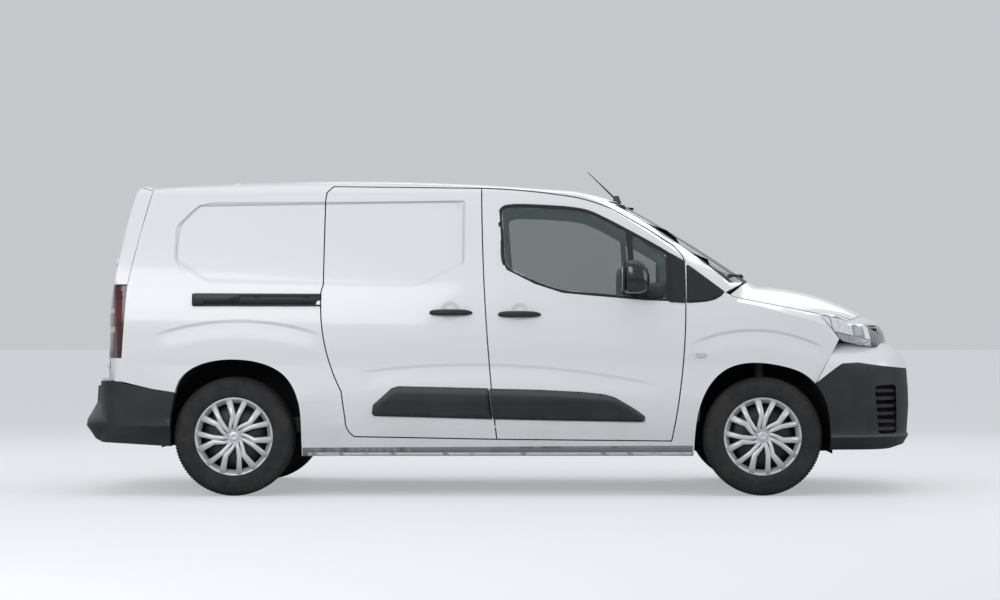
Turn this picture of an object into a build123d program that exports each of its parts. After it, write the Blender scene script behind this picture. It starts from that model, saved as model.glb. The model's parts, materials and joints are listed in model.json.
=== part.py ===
from build123d import *
from math import cos, radians, sin
import os

os.makedirs("parts", exist_ok=True)

# Compact panel van. X forward, Y left, Z up; the origin is on the ground below
# the middle of the van. Millimetres. The right side (-Y) is drawn and mirrored.

# Overall sizes
length = 4753
wheelbase = 2975
front_overhang = 892
width = 1848
roof_height = 1806
ground_gap = 225
track_front = 1553
track_rear = 1568
mirror_reach = 1053

# Running gear
tyre_radius = 335
tyre_width = 215
rim_radius = 222
hub_radius = 46
spokes = 7

# Shell build-up
flush = 4
pane = 5
skin = 14
liner = 28
door_thickness = 60
panel_gap = 7
hem = 24
window_edge = 17
seat_gap = 0.3

# Heights
sill_top = 320
door_top = 1740
lamp_top = 1184
lamp_base = 776
ditch = 660
bumper_top = 640
load_floor = 560
liner_inner = 500

# Stations along the van
front_axle = length / 2 - front_overhang
rear_axle = front_axle - wheelbase
nose_x = length / 2 - 120
tail_x = 99 - length / 2
cowl = front_axle - 440
b_post = cowl - 1112
c_post = b_post - 922
side = width / 2


def inward(x, z, angle, inset):
    """A profile point moved inward along its outward normal."""
    return (x - inset * cos(radians(angle)), z - inset * sin(radians(angle)))


def body_section(inset):
    """Cross-section of the body in the YZ plane, with its tumblehome and sills."""
    with BuildSketch(Plane.YZ) as sketch:
        with BuildLine():
            Polyline((0, ground_gap), (side - 74, ground_gap), (side - 19, 400),
                     (side, 540), (side - 12, 740))
            ThreePointArc((side - 12, 740), (side - 13, 930), (side - 30, 1110))
            ThreePointArc((side - 30, 1110), (side - 88, 1360), (side - 196, 1700))
            ThreePointArc((side - 196, 1700), (side - 236, 1760),
                          (side - 320, roof_height - 22))
            Polyline((side - 320, roof_height - 22), (side - 420, roof_height + 90),
                     (0, roof_height + 90), (0, ground_gap))
        make_face()
        mirror(about=Plane.YZ)
        if inset:
            offset(amount=-inset)
    return sketch.sketch


def body_slice(y, drop, sweep_back, tail_in, inset):
    """Side profile of the body at one distance from the middle plane."""
    def at(x, z, angle, back=0.0, fall=0.0):
        return inward(x - back, z - fall, angle, inset)

    bow = sweep_back
    rear = -tail_in
    with BuildSketch(Plane.XZ.offset(-y)) as sketch:
        with BuildLine():
            Line(at(tail_x, ground_gap - 40, 180, rear), at(tail_x, 760, 180, rear))
            ThreePointArc(at(tail_x, 760, 180, rear), at(tail_x + 41, 1240, 173, rear),
                          at(tail_x + 157, 1690, 160, rear))
            ThreePointArc(at(tail_x + 157, 1690, 160, rear), at(tail_x + 190, 1738, 130, rear),
                          at(tail_x + 287, roof_height - 40, 95, 0, drop))
            ThreePointArc(at(tail_x + 287, roof_height - 40, 95, 0, drop),
                          at(-900, roof_height - 3, 90, 0, drop),
                          at(350, roof_height - 53, 85, 0, drop))
            ThreePointArc(at(350, roof_height - 53, 85, 0, drop),
                          at(560, roof_height - 84, 77, 0.4 * bow, drop),
                          at(739, roof_height - 144, 60, bow, drop))
            ThreePointArc(at(739, roof_height - 144, 60, bow, drop),
                          at(1187, 1398, 55, bow, drop),
                          at(1500, 1190, 65, bow, 1.5 * drop))
            ThreePointArc(at(1500, 1190, 65, bow, 1.5 * drop),
                          at(nose_x - 364, 1122, 75, bow, 2 * drop),
                          at(nose_x - 46, 972, 55, bow, 2 * drop))
            ThreePointArc(at(nose_x - 46, 972, 55, bow, 2 * drop),
                          at(nose_x - 11, 930, 25, bow, 2 * drop),
                          at(nose_x, 860, 0, bow, 2 * drop))
            Line(at(nose_x, 860, 0, bow, 2 * drop), at(nose_x, ground_gap - 40, 0, bow))
            Line(at(nose_x, ground_gap - 40, 0, bow), at(tail_x, ground_gap - 40, 180, rear))
        make_face()
    return sketch.sketch


def body_plan(inset):
    """Plan outline of the body with its rounded nose and tail corners."""
    with BuildSketch(Plane.XY) as sketch:
        with BuildLine():
            crown = JernArc((nose_x, 0), (0, -1), 5500, -4.9)
            bend = JernArc(crown @ 1, crown % 1, 620, -22)
            corner = JernArc(bend @ 1, bend % 1, 290, -54)
            Polyline(corner @ 1, (front_axle, -side), (rear_axle - 210, -side),
                     (tail_x + 140, 15 - side))
            ThreePointArc((tail_x + 140, 15 - side), (tail_x + 60, 55 - side),
                          (tail_x + 26, 134 - side))
            Polyline((tail_x + 26, 134 - side), (tail_x, -300), (tail_x, 0), (nose_x, 0))
        make_face()
        mirror(about=Plane.XZ)
        if inset:
            offset(amount=-inset, kind=Kind.INTERSECTION)
    return sketch.sketch


slice_places = [(-960, 75, 190, 30), (-700, 35, 90, 10), (-400, 8, 20, 2), (0, 0, 0, 0),
                (400, 8, 20, 2), (700, 35, 90, 10), (960, 75, 190, 30)]


def crowned_form(inset):
    """The body's roof, screen, bonnet and tail surfaces, before its sides are cut."""
    with BuildPart(mode=Mode.PRIVATE) as form:
        loft([body_slice(*place, inset) for place in slice_places])
    return form.part


def side_form(inset):
    """The body's cross-section run straight from nose to tail."""
    with BuildPart(mode=Mode.PRIVATE) as form:
        extrude(body_section(inset), amount=length / 2, both=True)
    return form.part


def body_form(inset):
    """The closed outer form of the body, moved inward by an inset."""
    crowned = crowned_form(inset)
    sides = side_form(inset)
    with BuildPart(mode=Mode.PRIVATE) as form:
        add(sides)
        add(crowned, mode=Mode.INTERSECT)
        extrude(body_plan(inset), amount=roof_height + 50, mode=Mode.INTERSECT)
    return form.part


outer = body_form(0)
glass_face = body_form(flush)
glass_back = body_form(flush + pane)
flange = body_form(skin)
lining = body_form(liner)
inner = body_form(door_thickness)


def shell(outside, inside):
    """The wall between two nested body forms."""
    with BuildPart(mode=Mode.PRIVATE) as wall:
        add(outside)
        add(inside, mode=Mode.SUBTRACT)
    return wall.part


full_wall = shell(outer, inner)
thin_wall = shell(outer, lining)


def right_wall(outside, inside):
    """The right-hand side of the wall between two nested body forms."""
    with BuildPart(mode=Mode.PRIVATE) as wall:
        add(outside)
        add(inside, mode=Mode.SUBTRACT)
        split(bisect_by=Plane.XZ.offset(side - 310), keep=Keep.TOP)
    return wall.part


skin_wall = right_wall(outer, flange)
frame_wall = right_wall(flange, inner)
side_wall = right_wall(outer, inner)
thin_side = right_wall(outer, lining)
pane_wall = right_wall(glass_face, glass_back)
pocket_wall = right_wall(outer, glass_back)


def cut_wall(wall, outline):
    """The part of a right-hand wall inside a side-view outline."""
    with BuildPart(mode=Mode.PRIVATE) as piece:
        add(wall)
        extrude(outline, amount=side + 80, mode=Mode.INTERSECT)
    return piece.part


def resize(outline, amount, plane=Plane.XZ):
    """An outline grown or shrunk all round."""
    with BuildSketch(plane, mode=Mode.PRIVATE) as sketch:
        add(plane.to_local_coords(outline))
        offset(amount=amount)
    return sketch.sketch


def polygon(*points):
    """A closed straight-sided outline in the side view."""
    with BuildSketch(Plane.XZ, mode=Mode.PRIVATE) as sketch:
        with BuildLine():
            Polyline(*points, points[0])
        make_face()
    return sketch.sketch


def write(piece, name):
    """Label a finished piece and write it."""
    piece.label = name
    export_step(piece, f"parts/{name}.step")


def both_sides(piece, name):
    """Write a right-hand piece and its mirrored left-hand twin."""
    write(piece, name + "_r")
    write(piece.mirror(Plane.XZ), name + "_l")


def pair(piece, name):
    """Write a right-hand piece and its mirrored twin as one part of two solids."""
    with BuildPart() as twins:
        add(piece)
        mirror(about=Plane.XZ)
    write(twins.part, name)


# ---------------------------------------------------------------- side outlines
b_top = (b_post - 35, door_top)
b_foot = (b_post + 56, sill_top)

with BuildSketch(Plane.XZ) as front_door_outline:
    with BuildLine():
        ThreePointArc(b_foot, (b_post - 6, 1027), b_top)
        ThreePointArc(b_top, (b_post + 237, door_top - 17), (b_post + 498, door_top - 52))
        ThreePointArc((b_post + 498, door_top - 52), (b_post + 612, door_top - 83),
                      (b_post + 710, door_top - 121))
        Polyline((b_post + 710, door_top - 121), (b_post + 901, door_top - 229),
                 (cowl - 60, 1414), (cowl - 10, 1353), (cowl, 1324), (cowl + 6, 1082))
        ThreePointArc((cowl + 6, 1082), (cowl - 14, 690), (cowl - 73, sill_top - 10))
        Line((cowl - 73, sill_top - 10), b_foot)
    make_face()

with BuildSketch(Plane.XZ) as sliding_door_outline:
    with BuildLine():
        ThreePointArc(b_foot, (b_post - 6, 1027), b_top)
        Polyline(b_top, (c_post + 45, door_top + 10), (c_post + 9, 1715), (c_post + 2, 1664),
                 (c_post + 2, 1190), (c_post - 10, 1147), (c_post - 10, 1066))
        ThreePointArc((c_post - 10, 1066), (c_post + 28, 790), (c_post + 106, 590))
        Line((c_post + 106, 590), (c_post + 128, 430))
        ThreePointArc((c_post + 128, 430), (c_post + 143, 370), (c_post + 178, sill_top + 15))
        Line((c_post + 178, sill_top + 15), b_foot)
    make_face()

arch_rear = [(rear_axle - 325, 585), (rear_axle - 261, 698), (rear_axle - 140, 754),
             (rear_axle + 14, 769), (rear_axle + 162, 747), (rear_axle + 283, 683),
             (rear_axle + 358, 562), (rear_axle + 381, 394), (rear_axle + 381, 200)]
arch_front = [(front_axle - 385, 200), (front_axle - 372, 434), (front_axle - 314, 604),
              (front_axle - 206, 715), (front_axle - 54, 751), (front_axle + 107, 732),
              (front_axle + 232, 687), (front_axle + 330, 584), (front_axle + 375, 432),
              (front_axle + 382, 200)]

with BuildSketch(Plane.XZ) as rear_arch:
    with BuildLine():
        Spline(*arch_rear)
        Polyline(arch_rear[-1], (rear_axle - 361, 200), (rear_axle - 352, 450), arch_rear[0])
    make_face()

with BuildSketch(Plane.XZ) as front_arch:
    with BuildLine():
        Spline(*arch_front)
        Line(arch_front[-1], arch_front[0])
    make_face()

door_window = polygon(
    (b_post + 67, 1603), (b_post + 90, 1633), (b_post + 147, 1644), (b_post + 334, 1639),
    (b_post + 485, 1627), (b_post + 569, 1610), (b_post + 662, 1569), (b_post + 942, 1417),
    (cowl - 88, 1367), (cowl - 64, 1346), (cowl - 62, 1103), (cowl - 81, 1096),
    (b_post + 893, 1101), (b_post + 614, 1125), (b_post + 428, 1142), (b_post + 270, 1193),
    (b_post + 111, 1273), (b_post + 88, 1320), (b_post + 78, 1443))

with BuildSketch(Plane.XZ) as blank_window:
    with BuildLine():
        FilletPolyline((b_post - 138, 1665), (b_post - 136, 1290), (b_post - 330, 1162),
                       (rear_axle - 360, 1192), (rear_axle - 296, 1656),
                       radius=(55, 60, 150, 190, 200), close=True)
    make_face()
blank_recess = cut_wall(pocket_wall, blank_window.sketch)

# ---------------------------------------------------------------- front doors
gap = panel_gap / 2
with BuildPart() as front_door:
    add(cut_wall(skin_wall, resize(front_door_outline.sketch, -gap)))
    add(cut_wall(frame_wall, resize(front_door_outline.sketch, -hem)))
    add(cut_wall(pocket_wall, door_window), mode=Mode.SUBTRACT)
    extrude(resize(door_window, -window_edge), amount=side + 80, mode=Mode.SUBTRACT)
both_sides(front_door.part, "front_door")

both_sides(cut_wall(pane_wall, door_window), "door_glass")

# ---------------------------------------------------------------- sliding doors
with BuildPart() as sliding_door:
    add(cut_wall(skin_wall, resize(sliding_door_outline.sketch, -gap)))
    add(cut_wall(frame_wall, resize(sliding_door_outline.sketch, -hem)))
    add(blank_recess, mode=Mode.SUBTRACT)
pair(sliding_door.part, "sliding_doors")

# ---------------------------------------------------------------- rear doors
tail_post = [(tail_x + 299, door_top - 14), (tail_x + 233, 1479), (tail_x + 182, 1150)]
roof_lip = (tail_x + 185, door_top + 8)
tail_split = -138
lamp_inner = 690

with BuildSketch(Plane.XZ) as tail_zone:
    with BuildLine():
        ThreePointArc(*tail_post)
        Polyline(tail_post[-1], (tail_x + 180, 655), (tail_x - 60, 655),
                 (tail_x - 60, door_top + 36), roof_lip, tail_post[0])
    make_face()


def tail_door(hand, edge):
    """One rear door between the middle split and its hinged edge."""
    near = edge + hand * gap
    far = hand * (lamp_inner - panel_gap)
    past = hand * (side + 40)
    with BuildSketch(Plane.YZ) as face:
        with BuildLine():
            Polyline((near, 600), (far, 600), (far, lamp_top + panel_gap),
                     (past, lamp_top + panel_gap), (past, roof_height), (near, roof_height),
                     (near, 600))
        make_face()
    with BuildPart() as door:
        add(full_wall)
        extrude(resize(tail_zone.sketch, -gap), amount=side + 80, both=True,
                mode=Mode.INTERSECT)
        extrude(face.sketch, amount=-length, mode=Mode.INTERSECT)
        with Locations((roof_lip[0] + 15, 0, roof_lip[1])):
            Box(length, 2 * ditch, 300, align=(Align.MIN, Align.CENTER, Align.CENTER),
                mode=Mode.SUBTRACT)
    return door.part


write(tail_door(1, tail_split), "tail_door_l")
write(tail_door(-1, tail_split), "tail_door_r")

# ---------------------------------------------------------------- fixed sides
with BuildPart() as quarter:
    add(side_wall)
    extrude(polygon((c_post - 60, sill_top - 20), (c_post + 240, sill_top - 20),
                    (c_post + 240, roof_height), roof_lip, *tail_post[:2], (tail_x + 185, lamp_top),
                    (tail_x + 160, lamp_base), (tail_x - 60, lamp_base), (tail_x - 60, 655),
                    (tail_x + 162, 646), (tail_x + 333, 605), (tail_x + 461, 585),
                    (rear_axle - 325, 450), (rear_axle, 400), (rear_axle + 340, 300)),
            amount=side + 80, mode=Mode.INTERSECT)
    extrude(resize(sliding_door_outline.sketch, gap), amount=side + 80, mode=Mode.SUBTRACT)
    extrude(rear_arch.sketch, amount=side + 80, mode=Mode.SUBTRACT)
    with Locations((tail_x, 0, 700)):
        Box(300, 2 * lamp_inner, 400, mode=Mode.SUBTRACT)
    with Locations((0, 0, roof_height)):
        Box(length, 2 * ditch, 400, mode=Mode.SUBTRACT)
    add(blank_recess, mode=Mode.SUBTRACT)
pair(quarter.part, "quarter_panels")

bonnet_side = [(cowl + 230, 1146), (cowl + 269, 1122), (cowl + 358, 1103), (cowl + 644, 1048),
               (cowl + 774, 1022)]
with BuildPart() as fender:
    add(thin_side)
    extrude(polygon((cowl - 90, 230), (cowl - 90, 1090), (cowl + 6, 1090), (cowl + 152, 1110),
                    *bonnet_side, (cowl + 804, 972), (cowl + 838, 928), (cowl + 871, 884),
                    (front_axle + 299, 640), (front_axle + 200, 500), (front_axle - 300, 230)),
            amount=side + 80, mode=Mode.INTERSECT)
    extrude(resize(front_door_outline.sketch, gap), amount=side + 80, mode=Mode.SUBTRACT)
    extrude(front_arch.sketch, amount=side + 80, mode=Mode.SUBTRACT)
pair(fender.part, "fenders")

with BuildPart() as sill:
    add(side_wall)
    extrude(polygon((rear_axle + 381, ground_gap - 1), (rear_axle + 381, sill_top + 60),
                    (front_axle - 390, sill_top + 60), (front_axle - 390, ground_gap - 1)),
            amount=side + 80, mode=Mode.INTERSECT)
    for door in (front_door_outline, sliding_door_outline):
        extrude(resize(door.sketch, gap), amount=side + 80, mode=Mode.SUBTRACT)
    add(quarter.part, mode=Mode.SUBTRACT)
    add(fender.part, mode=Mode.SUBTRACT)
pair(sill.part, "sills")

# ---------------------------------------------------------------- roof and windscreen
screen_foot = 1222
screen_head = door_top - 66

with BuildSketch(Plane.YZ) as screen_outline:
    with BuildLine():
        Polyline((0, screen_foot), (735, screen_foot - 20), (590, screen_head), (0, screen_head))
        Line((0, screen_head), (0, screen_foot))
    make_face()
    mirror(about=Plane.YZ)

screen_head_x = cowl - 460
rack_x, rack_span, rack_y, rack_top = -900, 1200, 600, 1772
rack_bolt = 4.2


def drill_roof(panel):
    """The roof with its four threaded bosses for a roof rack."""
    with BuildPart(mode=Mode.PRIVATE) as drilled:
        add(panel)
        with Locations((rack_x, 0, rack_top)):
            with GridLocations(rack_span, 2 * rack_y, 2, 2):
                Cylinder(16, 34, align=(Align.CENTER, Align.CENTER, Align.MAX))
                Cylinder(rack_bolt, 200, mode=Mode.SUBTRACT)
    return drilled.part


with BuildPart() as roof:
    add(thin_wall)
    extrude(polygon(roof_lip, tail_post[0], (tail_x + 299, 1600), (screen_head_x, 1600),
                    (screen_head_x, roof_height + 40), (tail_x, roof_height + 40)),
            amount=ditch, both=True, mode=Mode.INTERSECT)
write(drill_roof(roof.part), "roof")

def screen_block(outline):
    """A block along the van with the windscreen's outline, clear of the door posts."""
    with BuildPart(mode=Mode.PRIVATE) as block:
        extrude(outline, amount=length, both=True)
        with Locations((screen_head_x - 60, 0, 0)):
            Box(length, width, 4 * roof_height, mode=Mode.INTERSECT,
                align=(Align.MIN, Align.CENTER, Align.CENTER))
    return block.part


screen_edge = screen_block(screen_outline.sketch)
screen_view = screen_block(resize(screen_outline.sketch, -window_edge, Plane.YZ))
front_pocket = shell(outer, glass_back)
with BuildPart() as screen_seat:
    add(front_pocket)
    add(screen_edge, mode=Mode.INTERSECT)

with BuildPart() as side_frame:
    add(thin_wall)
    extrude(polygon((c_post + 240, roof_height + 40), (c_post + 240, 1500), (b_post + 500, 1400),
                    (cowl - 150, 1090), (cowl + 152, 1110), (cowl + 320, 1190),
                    (cowl + 500, 1300), (cowl, roof_height + 40)),
            amount=side + 80, mode=Mode.INTERSECT)
    for outline in (front_door_outline, sliding_door_outline):
        extrude(resize(outline.sketch, gap), amount=side + 80, mode=Mode.SUBTRACT)
    extrude(polygon((tail_x, 1500), (screen_head_x, 1500), (screen_head_x, roof_height + 40),
                    (tail_x, roof_height + 40)), amount=ditch, mode=Mode.SUBTRACT)
    add(screen_view, mode=Mode.SUBTRACT)
    add(screen_seat.part, mode=Mode.SUBTRACT)
pair(side_frame.part, "side_frames")

with BuildPart() as windscreen:
    add(shell(glass_face, glass_back))
    add(screen_edge, mode=Mode.INTERSECT)
write(windscreen.part, "windscreen")

# ---------------------------------------------------------------- bonnet and nose
with BuildSketch(Plane.XY) as bonnet_plan:
    with BuildLine():
        ThreePointArc((cowl + 232, -side), (cowl + 420, 0), (cowl + 232, side))
        Line((cowl + 232, side), (nose_x - 340, side))
        Line((nose_x - 340, side), (nose_x - 340, 812))
        ThreePointArc((nose_x - 340, 812), (nose_x - 116, 0), (nose_x - 340, -812))
        Line((nose_x - 340, -812), (nose_x - 340, -side))
        Line((nose_x - 340, -side), (cowl + 232, -side))
    make_face()

bonnet_zone = polygon(*bonnet_side, (nose_x - 340, 1020), (nose_x, 900), (nose_x, 1400),
                      (cowl + 232, 1400))
with BuildPart() as bonnet:
    add(thin_wall)
    extrude(resize(bonnet_zone, -gap), amount=side, both=True, mode=Mode.INTERSECT)
    extrude(resize(bonnet_plan.sketch, -gap, Plane.XY), amount=roof_height,
            mode=Mode.INTERSECT)
write(bonnet.part, "bonnet")

with BuildSketch(Plane.XY) as cowl_plan:
    with BuildLine():
        ThreePointArc((cowl + 232, -side + 120), (cowl + 420, 0), (cowl + 232, side - 120))
        Polyline((cowl + 232, side - 120), (cowl, side - 120), (cowl, 120 - side),
                 (cowl + 232, 120 - side))
    make_face()

with BuildPart() as cowl_panel:
    add(shell(glass_back, inner))
    extrude(cowl_plan.sketch, amount=screen_foot, mode=Mode.INTERSECT)
    with Locations((cowl + 300, 0, 1075)):
        Box(1000, width, 300, align=(Align.CENTER, Align.CENTER, Align.MIN), mode=Mode.INTERSECT)
    add(side_frame.part, mode=Mode.SUBTRACT)
    add(side_frame.part.mirror(Plane.XZ), mode=Mode.SUBTRACT)
write(cowl_panel.part, "cowl_panel")

lamp_edge = 610
with BuildPart() as nose_panel:
    add(thin_wall)
    extrude(polygon((nose_x - 330, 968), (nose_x + 40, 968), (nose_x + 40, 1200),
                    (nose_x - 330, 1200)), amount=side, both=True, mode=Mode.INTERSECT)
    extrude(resize(bonnet_plan.sketch, gap, Plane.XY), amount=roof_height,
            mode=Mode.SUBTRACT)
write(nose_panel.part, "nose_panel")

# ---------------------------------------------------------------- bumpers
nose_tip = length / 2
grille_base = 862

with BuildLine() as nose_path:
    path_crown = JernArc((nose_tip, 0), (0, -1), 5500, -4.9)
    path_bend = JernArc(path_crown @ 1, path_crown % 1, 640, -22)
    path_corner = JernArc(path_bend @ 1, path_bend % 1, 320, -53)
    Line(path_corner @ 1, (front_axle + 250, 6 - side))

with BuildSketch(Plane.XZ) as bumper_wall:
    with BuildLine():
        Polyline((nose_tip - 122, 858), (nose_tip - 92, 839), (nose_tip - 40, 790),
                 (nose_tip - 14, 735), (nose_tip - 3, 600), (nose_tip, 500),
                 (nose_tip - 10, 349), (nose_tip, 331), (nose_tip - 30, 280),
                 (nose_tip - 96, 257), (nose_tip - 96, 283), (nose_tip - 50, 310),
                 (nose_tip - 40, 500), (nose_tip - 43, 600), (nose_tip - 54, 725),
                 (nose_tip - 74, 770), (nose_tip - 110, 815), (nose_tip - 132, 830),
                 (nose_tip - 122, 858))
    make_face()

join_line = [(front_axle + 303, bumper_top + 2), (front_axle + 357, bumper_top + 43),
             (front_axle + 411, bumper_top + 83), (front_axle + 447, bumper_top + 107),
             (front_axle + 537, bumper_top + 112), (front_axle + 662, bumper_top + 94),
             (nose_tip + 40, bumper_top + 66)]

with BuildPart() as nose_skin:
    sweep(bumper_wall.sketch, path=nose_path.line)
    mirror(about=Plane.XZ)

with BuildPart() as bumper_cover:
    add(nose_skin.part)
    extrude(polygon(*join_line, (nose_tip + 40, 900), (front_axle + 431, 900),
                    (front_axle + 431, 884)), amount=side + 80, both=True, mode=Mode.INTERSECT)
    extrude(front_arch.sketch, amount=side + 80, both=True, mode=Mode.SUBTRACT)
write(bumper_cover.part, "bumper_cover")

vent_slats = 6
vent_pitch = 43
vent_low = 352
vent_inner = 430
with BuildSketch(Plane.XZ) as vent_outline:
    with BuildLine():
        FilletPolyline((nose_tip - 262, vent_low + 268), (nose_tip - 130, vent_low + 276),
                       (nose_tip - 124, vent_low - 4), (nose_tip - 236, vent_low - 4),
                       radius=22, close=True)
    make_face()
with BuildSketch(Plane.XZ) as slat_row:
    for level in range(vent_slats):
        with Locations((nose_tip - 32, vent_low + 26 + vent_pitch * level)):
            Rectangle(34, 15, rotation=-8)
with BuildPart() as vent_bars:
    sweep(slat_row.sketch, path=nose_path.line)
with BuildPart() as front_vent:
    extrude(vent_outline.sketch, amount=side + 80)
    with Locations((nose_tip, 0, 0)):
        Box(length, 2 * vent_inner, length, mode=Mode.SUBTRACT)
with BuildPart() as vent_grid:
    add(vent_bars.part)
    add(front_vent.part, mode=Mode.INTERSECT)

with BuildPart() as front_bumper:
    add(nose_skin.part)
    extrude(polygon(*join_line, (nose_tip + 40, 200), (front_axle + 250, 200)),
            amount=side + 80, both=True, mode=Mode.INTERSECT)
    extrude(front_arch.sketch, amount=side + 80, both=True, mode=Mode.SUBTRACT)
    add(front_vent.part, mode=Mode.SUBTRACT)
    add(front_vent.part.mirror(Plane.XZ), mode=Mode.SUBTRACT)
    add(vent_grid.part)
    add(vent_grid.part.mirror(Plane.XZ))
write(front_bumper.part, "front_bumper")

tail_tip = -length / 2
with BuildLine() as tail_path:
    tail_crown = JernArc((tail_tip, 0), (0, -1), 9000, 4.5)
    tail_corner = JernArc(tail_crown @ 1, tail_crown % 1, 210, 80)
    Line(tail_corner @ 1, (rear_axle - 300, 2 - side))

with BuildSketch(Plane.XZ) as rear_wall:
    with BuildLine():
        Polyline((tail_tip + 160, bumper_top + 6), (tail_tip + 66, bumper_top - 22),
                 (tail_tip + 60, 523), (tail_tip + 37, 482), (tail_tip + 6, 430),
                 (tail_tip, 394), (tail_tip + 26, 357), (tail_tip + 50, 320),
                 (tail_tip + 86, 297), (tail_tip + 110, 297), (tail_tip + 80, 340),
                 (tail_tip + 50, 394), (tail_tip + 100, 523), (tail_tip + 106, 590),
                 (tail_tip + 160, 610), (tail_tip + 160, bumper_top + 6))
    make_face()

with BuildPart() as rear_bumper:
    sweep(rear_wall.sketch, path=tail_path.line)
    add(side_wall)
    mirror(about=Plane.XZ)
    extrude(polygon((tail_tip - 50, 250), (tail_tip - 50, bumper_top + 7), (tail_x + 162, 646),
                    (tail_x + 177, 633), (tail_x + 333, 605), (tail_x + 461, 585),
                    (rear_axle - 352, 450), (rear_axle - 361, 200)),
            amount=side + 80, both=True, mode=Mode.INTERSECT)
write(rear_bumper.part, "rear_bumper")

# ---------------------------------------------------------------- lamps and grille
lamp_zone = polygon((cowl + 771, 1026), (cowl + 829, 1031), (cowl + 872, 1020),
                    (nose_x - 277, 998), (nose_x - 204, 973), (nose_x - 60, 964),
                    (nose_x + 20, 960), (nose_x + 20, grille_base), (nose_x - 60, 862),
                    (nose_x - 80, 830), (nose_x - 181, 845), (nose_x - 254, 857),
                    (nose_x - 316, 870), (cowl + 873, 888), (cowl + 842, 930),
                    (cowl + 808, 974))
with BuildPart() as headlamp:
    add(full_wall)
    extrude(lamp_zone, amount=side + 80, mode=Mode.INTERSECT)
    with Locations((0, 0, 0)):
        Box(2 * length, 2 * lamp_edge, 4000, mode=Mode.SUBTRACT)
    add(bonnet.part, mode=Mode.SUBTRACT)
    add(nose_panel.part, mode=Mode.SUBTRACT)
    add(fender.part, mode=Mode.SUBTRACT)
    add(bumper_cover.part, mode=Mode.SUBTRACT)
pair(headlamp.part, "headlamps")

slat = 9
slat_pitch = 24
with BuildPart() as grille:
    add(shell(glass_face, inner))
    with BuildPart(mode=Mode.PRIVATE) as bars:
        for level in range(4):
            with Locations((nose_x, 0, grille_base + 14 + slat_pitch * level)):
                Box(400, 2 * (lamp_edge - seat_gap), slat)
        with Locations((nose_x - 60, 0, (grille_base + 964) / 2)):
            Box(60, 2 * (lamp_edge - seat_gap), 96)
    add(bars.part, mode=Mode.INTERSECT)
write(grille.part, "grille")

with BuildPart() as tail_lamp:
    add(full_wall)
    extrude(polygon((tail_x + 183, lamp_top), (tail_x + 171, 1000), (tail_x + 160, lamp_base),
                    (tail_x - 60, lamp_base), (tail_x - 60, lamp_top)),
            amount=side + 80, mode=Mode.INTERSECT)
    Box(2 * length, 2 * lamp_inner, 4000, mode=Mode.SUBTRACT)
pair(tail_lamp.part, "tail_lamps")

# ---------------------------------------------------------------- outside fittings
mirror_mid = (cowl - 278, 1235)
with BuildPart() as mirror_head:
    with BuildSketch(Plane.XY.offset(mirror_mid[1] - 92)) as case:
        with Locations((mirror_mid[0], -mirror_reach + 105)):
            RectangleRounded(118, 210, 50)
    with BuildSketch(Plane.XY.offset(mirror_mid[1] + 92)) as case_top:
        with Locations((mirror_mid[0], -mirror_reach + 110)):
            RectangleRounded(96, 180, 44)
    loft()
    with BuildSketch(Plane.XZ.offset(side - 60)) as arm:
        with Locations((cowl - 150, 1150)):
            Rectangle(130, 60)
    extrude(arm.sketch, amount=100)
    with Locations((cowl - 200, -side - 30, 1150)):
        Box(140, 90, 46)
    add(glass_face, mode=Mode.SUBTRACT)
both_sides(mirror_head.part, "mirror")

with BuildSketch(Plane.XZ) as door_strip:
    with BuildLine():
        Polyline((b_post + 27, 606), (b_post + 290, 600), (b_post + 540, 587), (b_post + 662, 574),
                 (b_post + 720, 557), (b_post + 785, 520), (b_post + 851, 479),
                 (b_post + 890, 448), (b_post + 866, 418), (b_post + 457, 425),
                 (b_post + 50, 434), (b_post + 27, 606))
    make_face()
slide_strip = polygon((b_post + 8, 608), (c_post + 427, 620), (c_post + 390, 609),
                      (c_post + 285, 515), (c_post + 278, 470), (c_post + 290, 454),
                      (b_post + 30, 434))
strip_depth = 12

handle_depth = 40
strip_wall = right_wall(side_form(-strip_depth), side_form(0))
handle_wall = right_wall(side_form(-handle_depth), side_form(0))


def handle(x, z):
    """A pull handle standing off the door skin on its two feet."""
    with BuildPart(mode=Mode.PRIVATE) as grip:
        add(handle_wall)
        with BuildSketch(Plane.XZ) as bar:
            with Locations((x, z)):
                RectangleRounded(236, 40, 18)
        extrude(bar.sketch, amount=side + 80, mode=Mode.INTERSECT)
    return grip.part


with BuildPart() as door_trim:
    add(cut_wall(strip_wall, door_strip.sketch))
    add(handle(b_post + 185, 1024))
both_sides(door_trim.part, "door_trim")

with BuildPart() as slide_trim:
    add(cut_wall(strip_wall, slide_strip))
    add(handle(b_post - 200, 1034))
    add(cut_wall(strip_wall, polygon((c_post - 732, 1070), (c_post - 732, 1140),
                                     (c_post - 12, 1138), (c_post - 12, 1070))))
pair(slide_trim.part, "slide_trim")

pair(cut_wall(strip_wall, polygon((cowl + 60, 800), (cowl + 74, 808), (cowl + 112, 806),
                                  (cowl + 120, 796), (cowl + 106, 782), (cowl + 68, 781))),
     "repeaters")

with BuildSketch(Plane.YZ) as wiper_plan:
    for pivot, tip in ((560, -60), (-130, -690)):
        with BuildLine():
            Polyline((pivot, screen_foot + 34), (tip, screen_foot + 48), (tip, screen_foot + 62),
                     (pivot + 60, screen_foot + 52), (pivot, screen_foot + 34))
        make_face()
with BuildPart() as wipers:
    add(crowned_form(-18))
    add(glass_face, mode=Mode.SUBTRACT)
    extrude(wiper_plan.sketch, amount=length, mode=Mode.INTERSECT)
write(wipers.part, "wipers")

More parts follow.
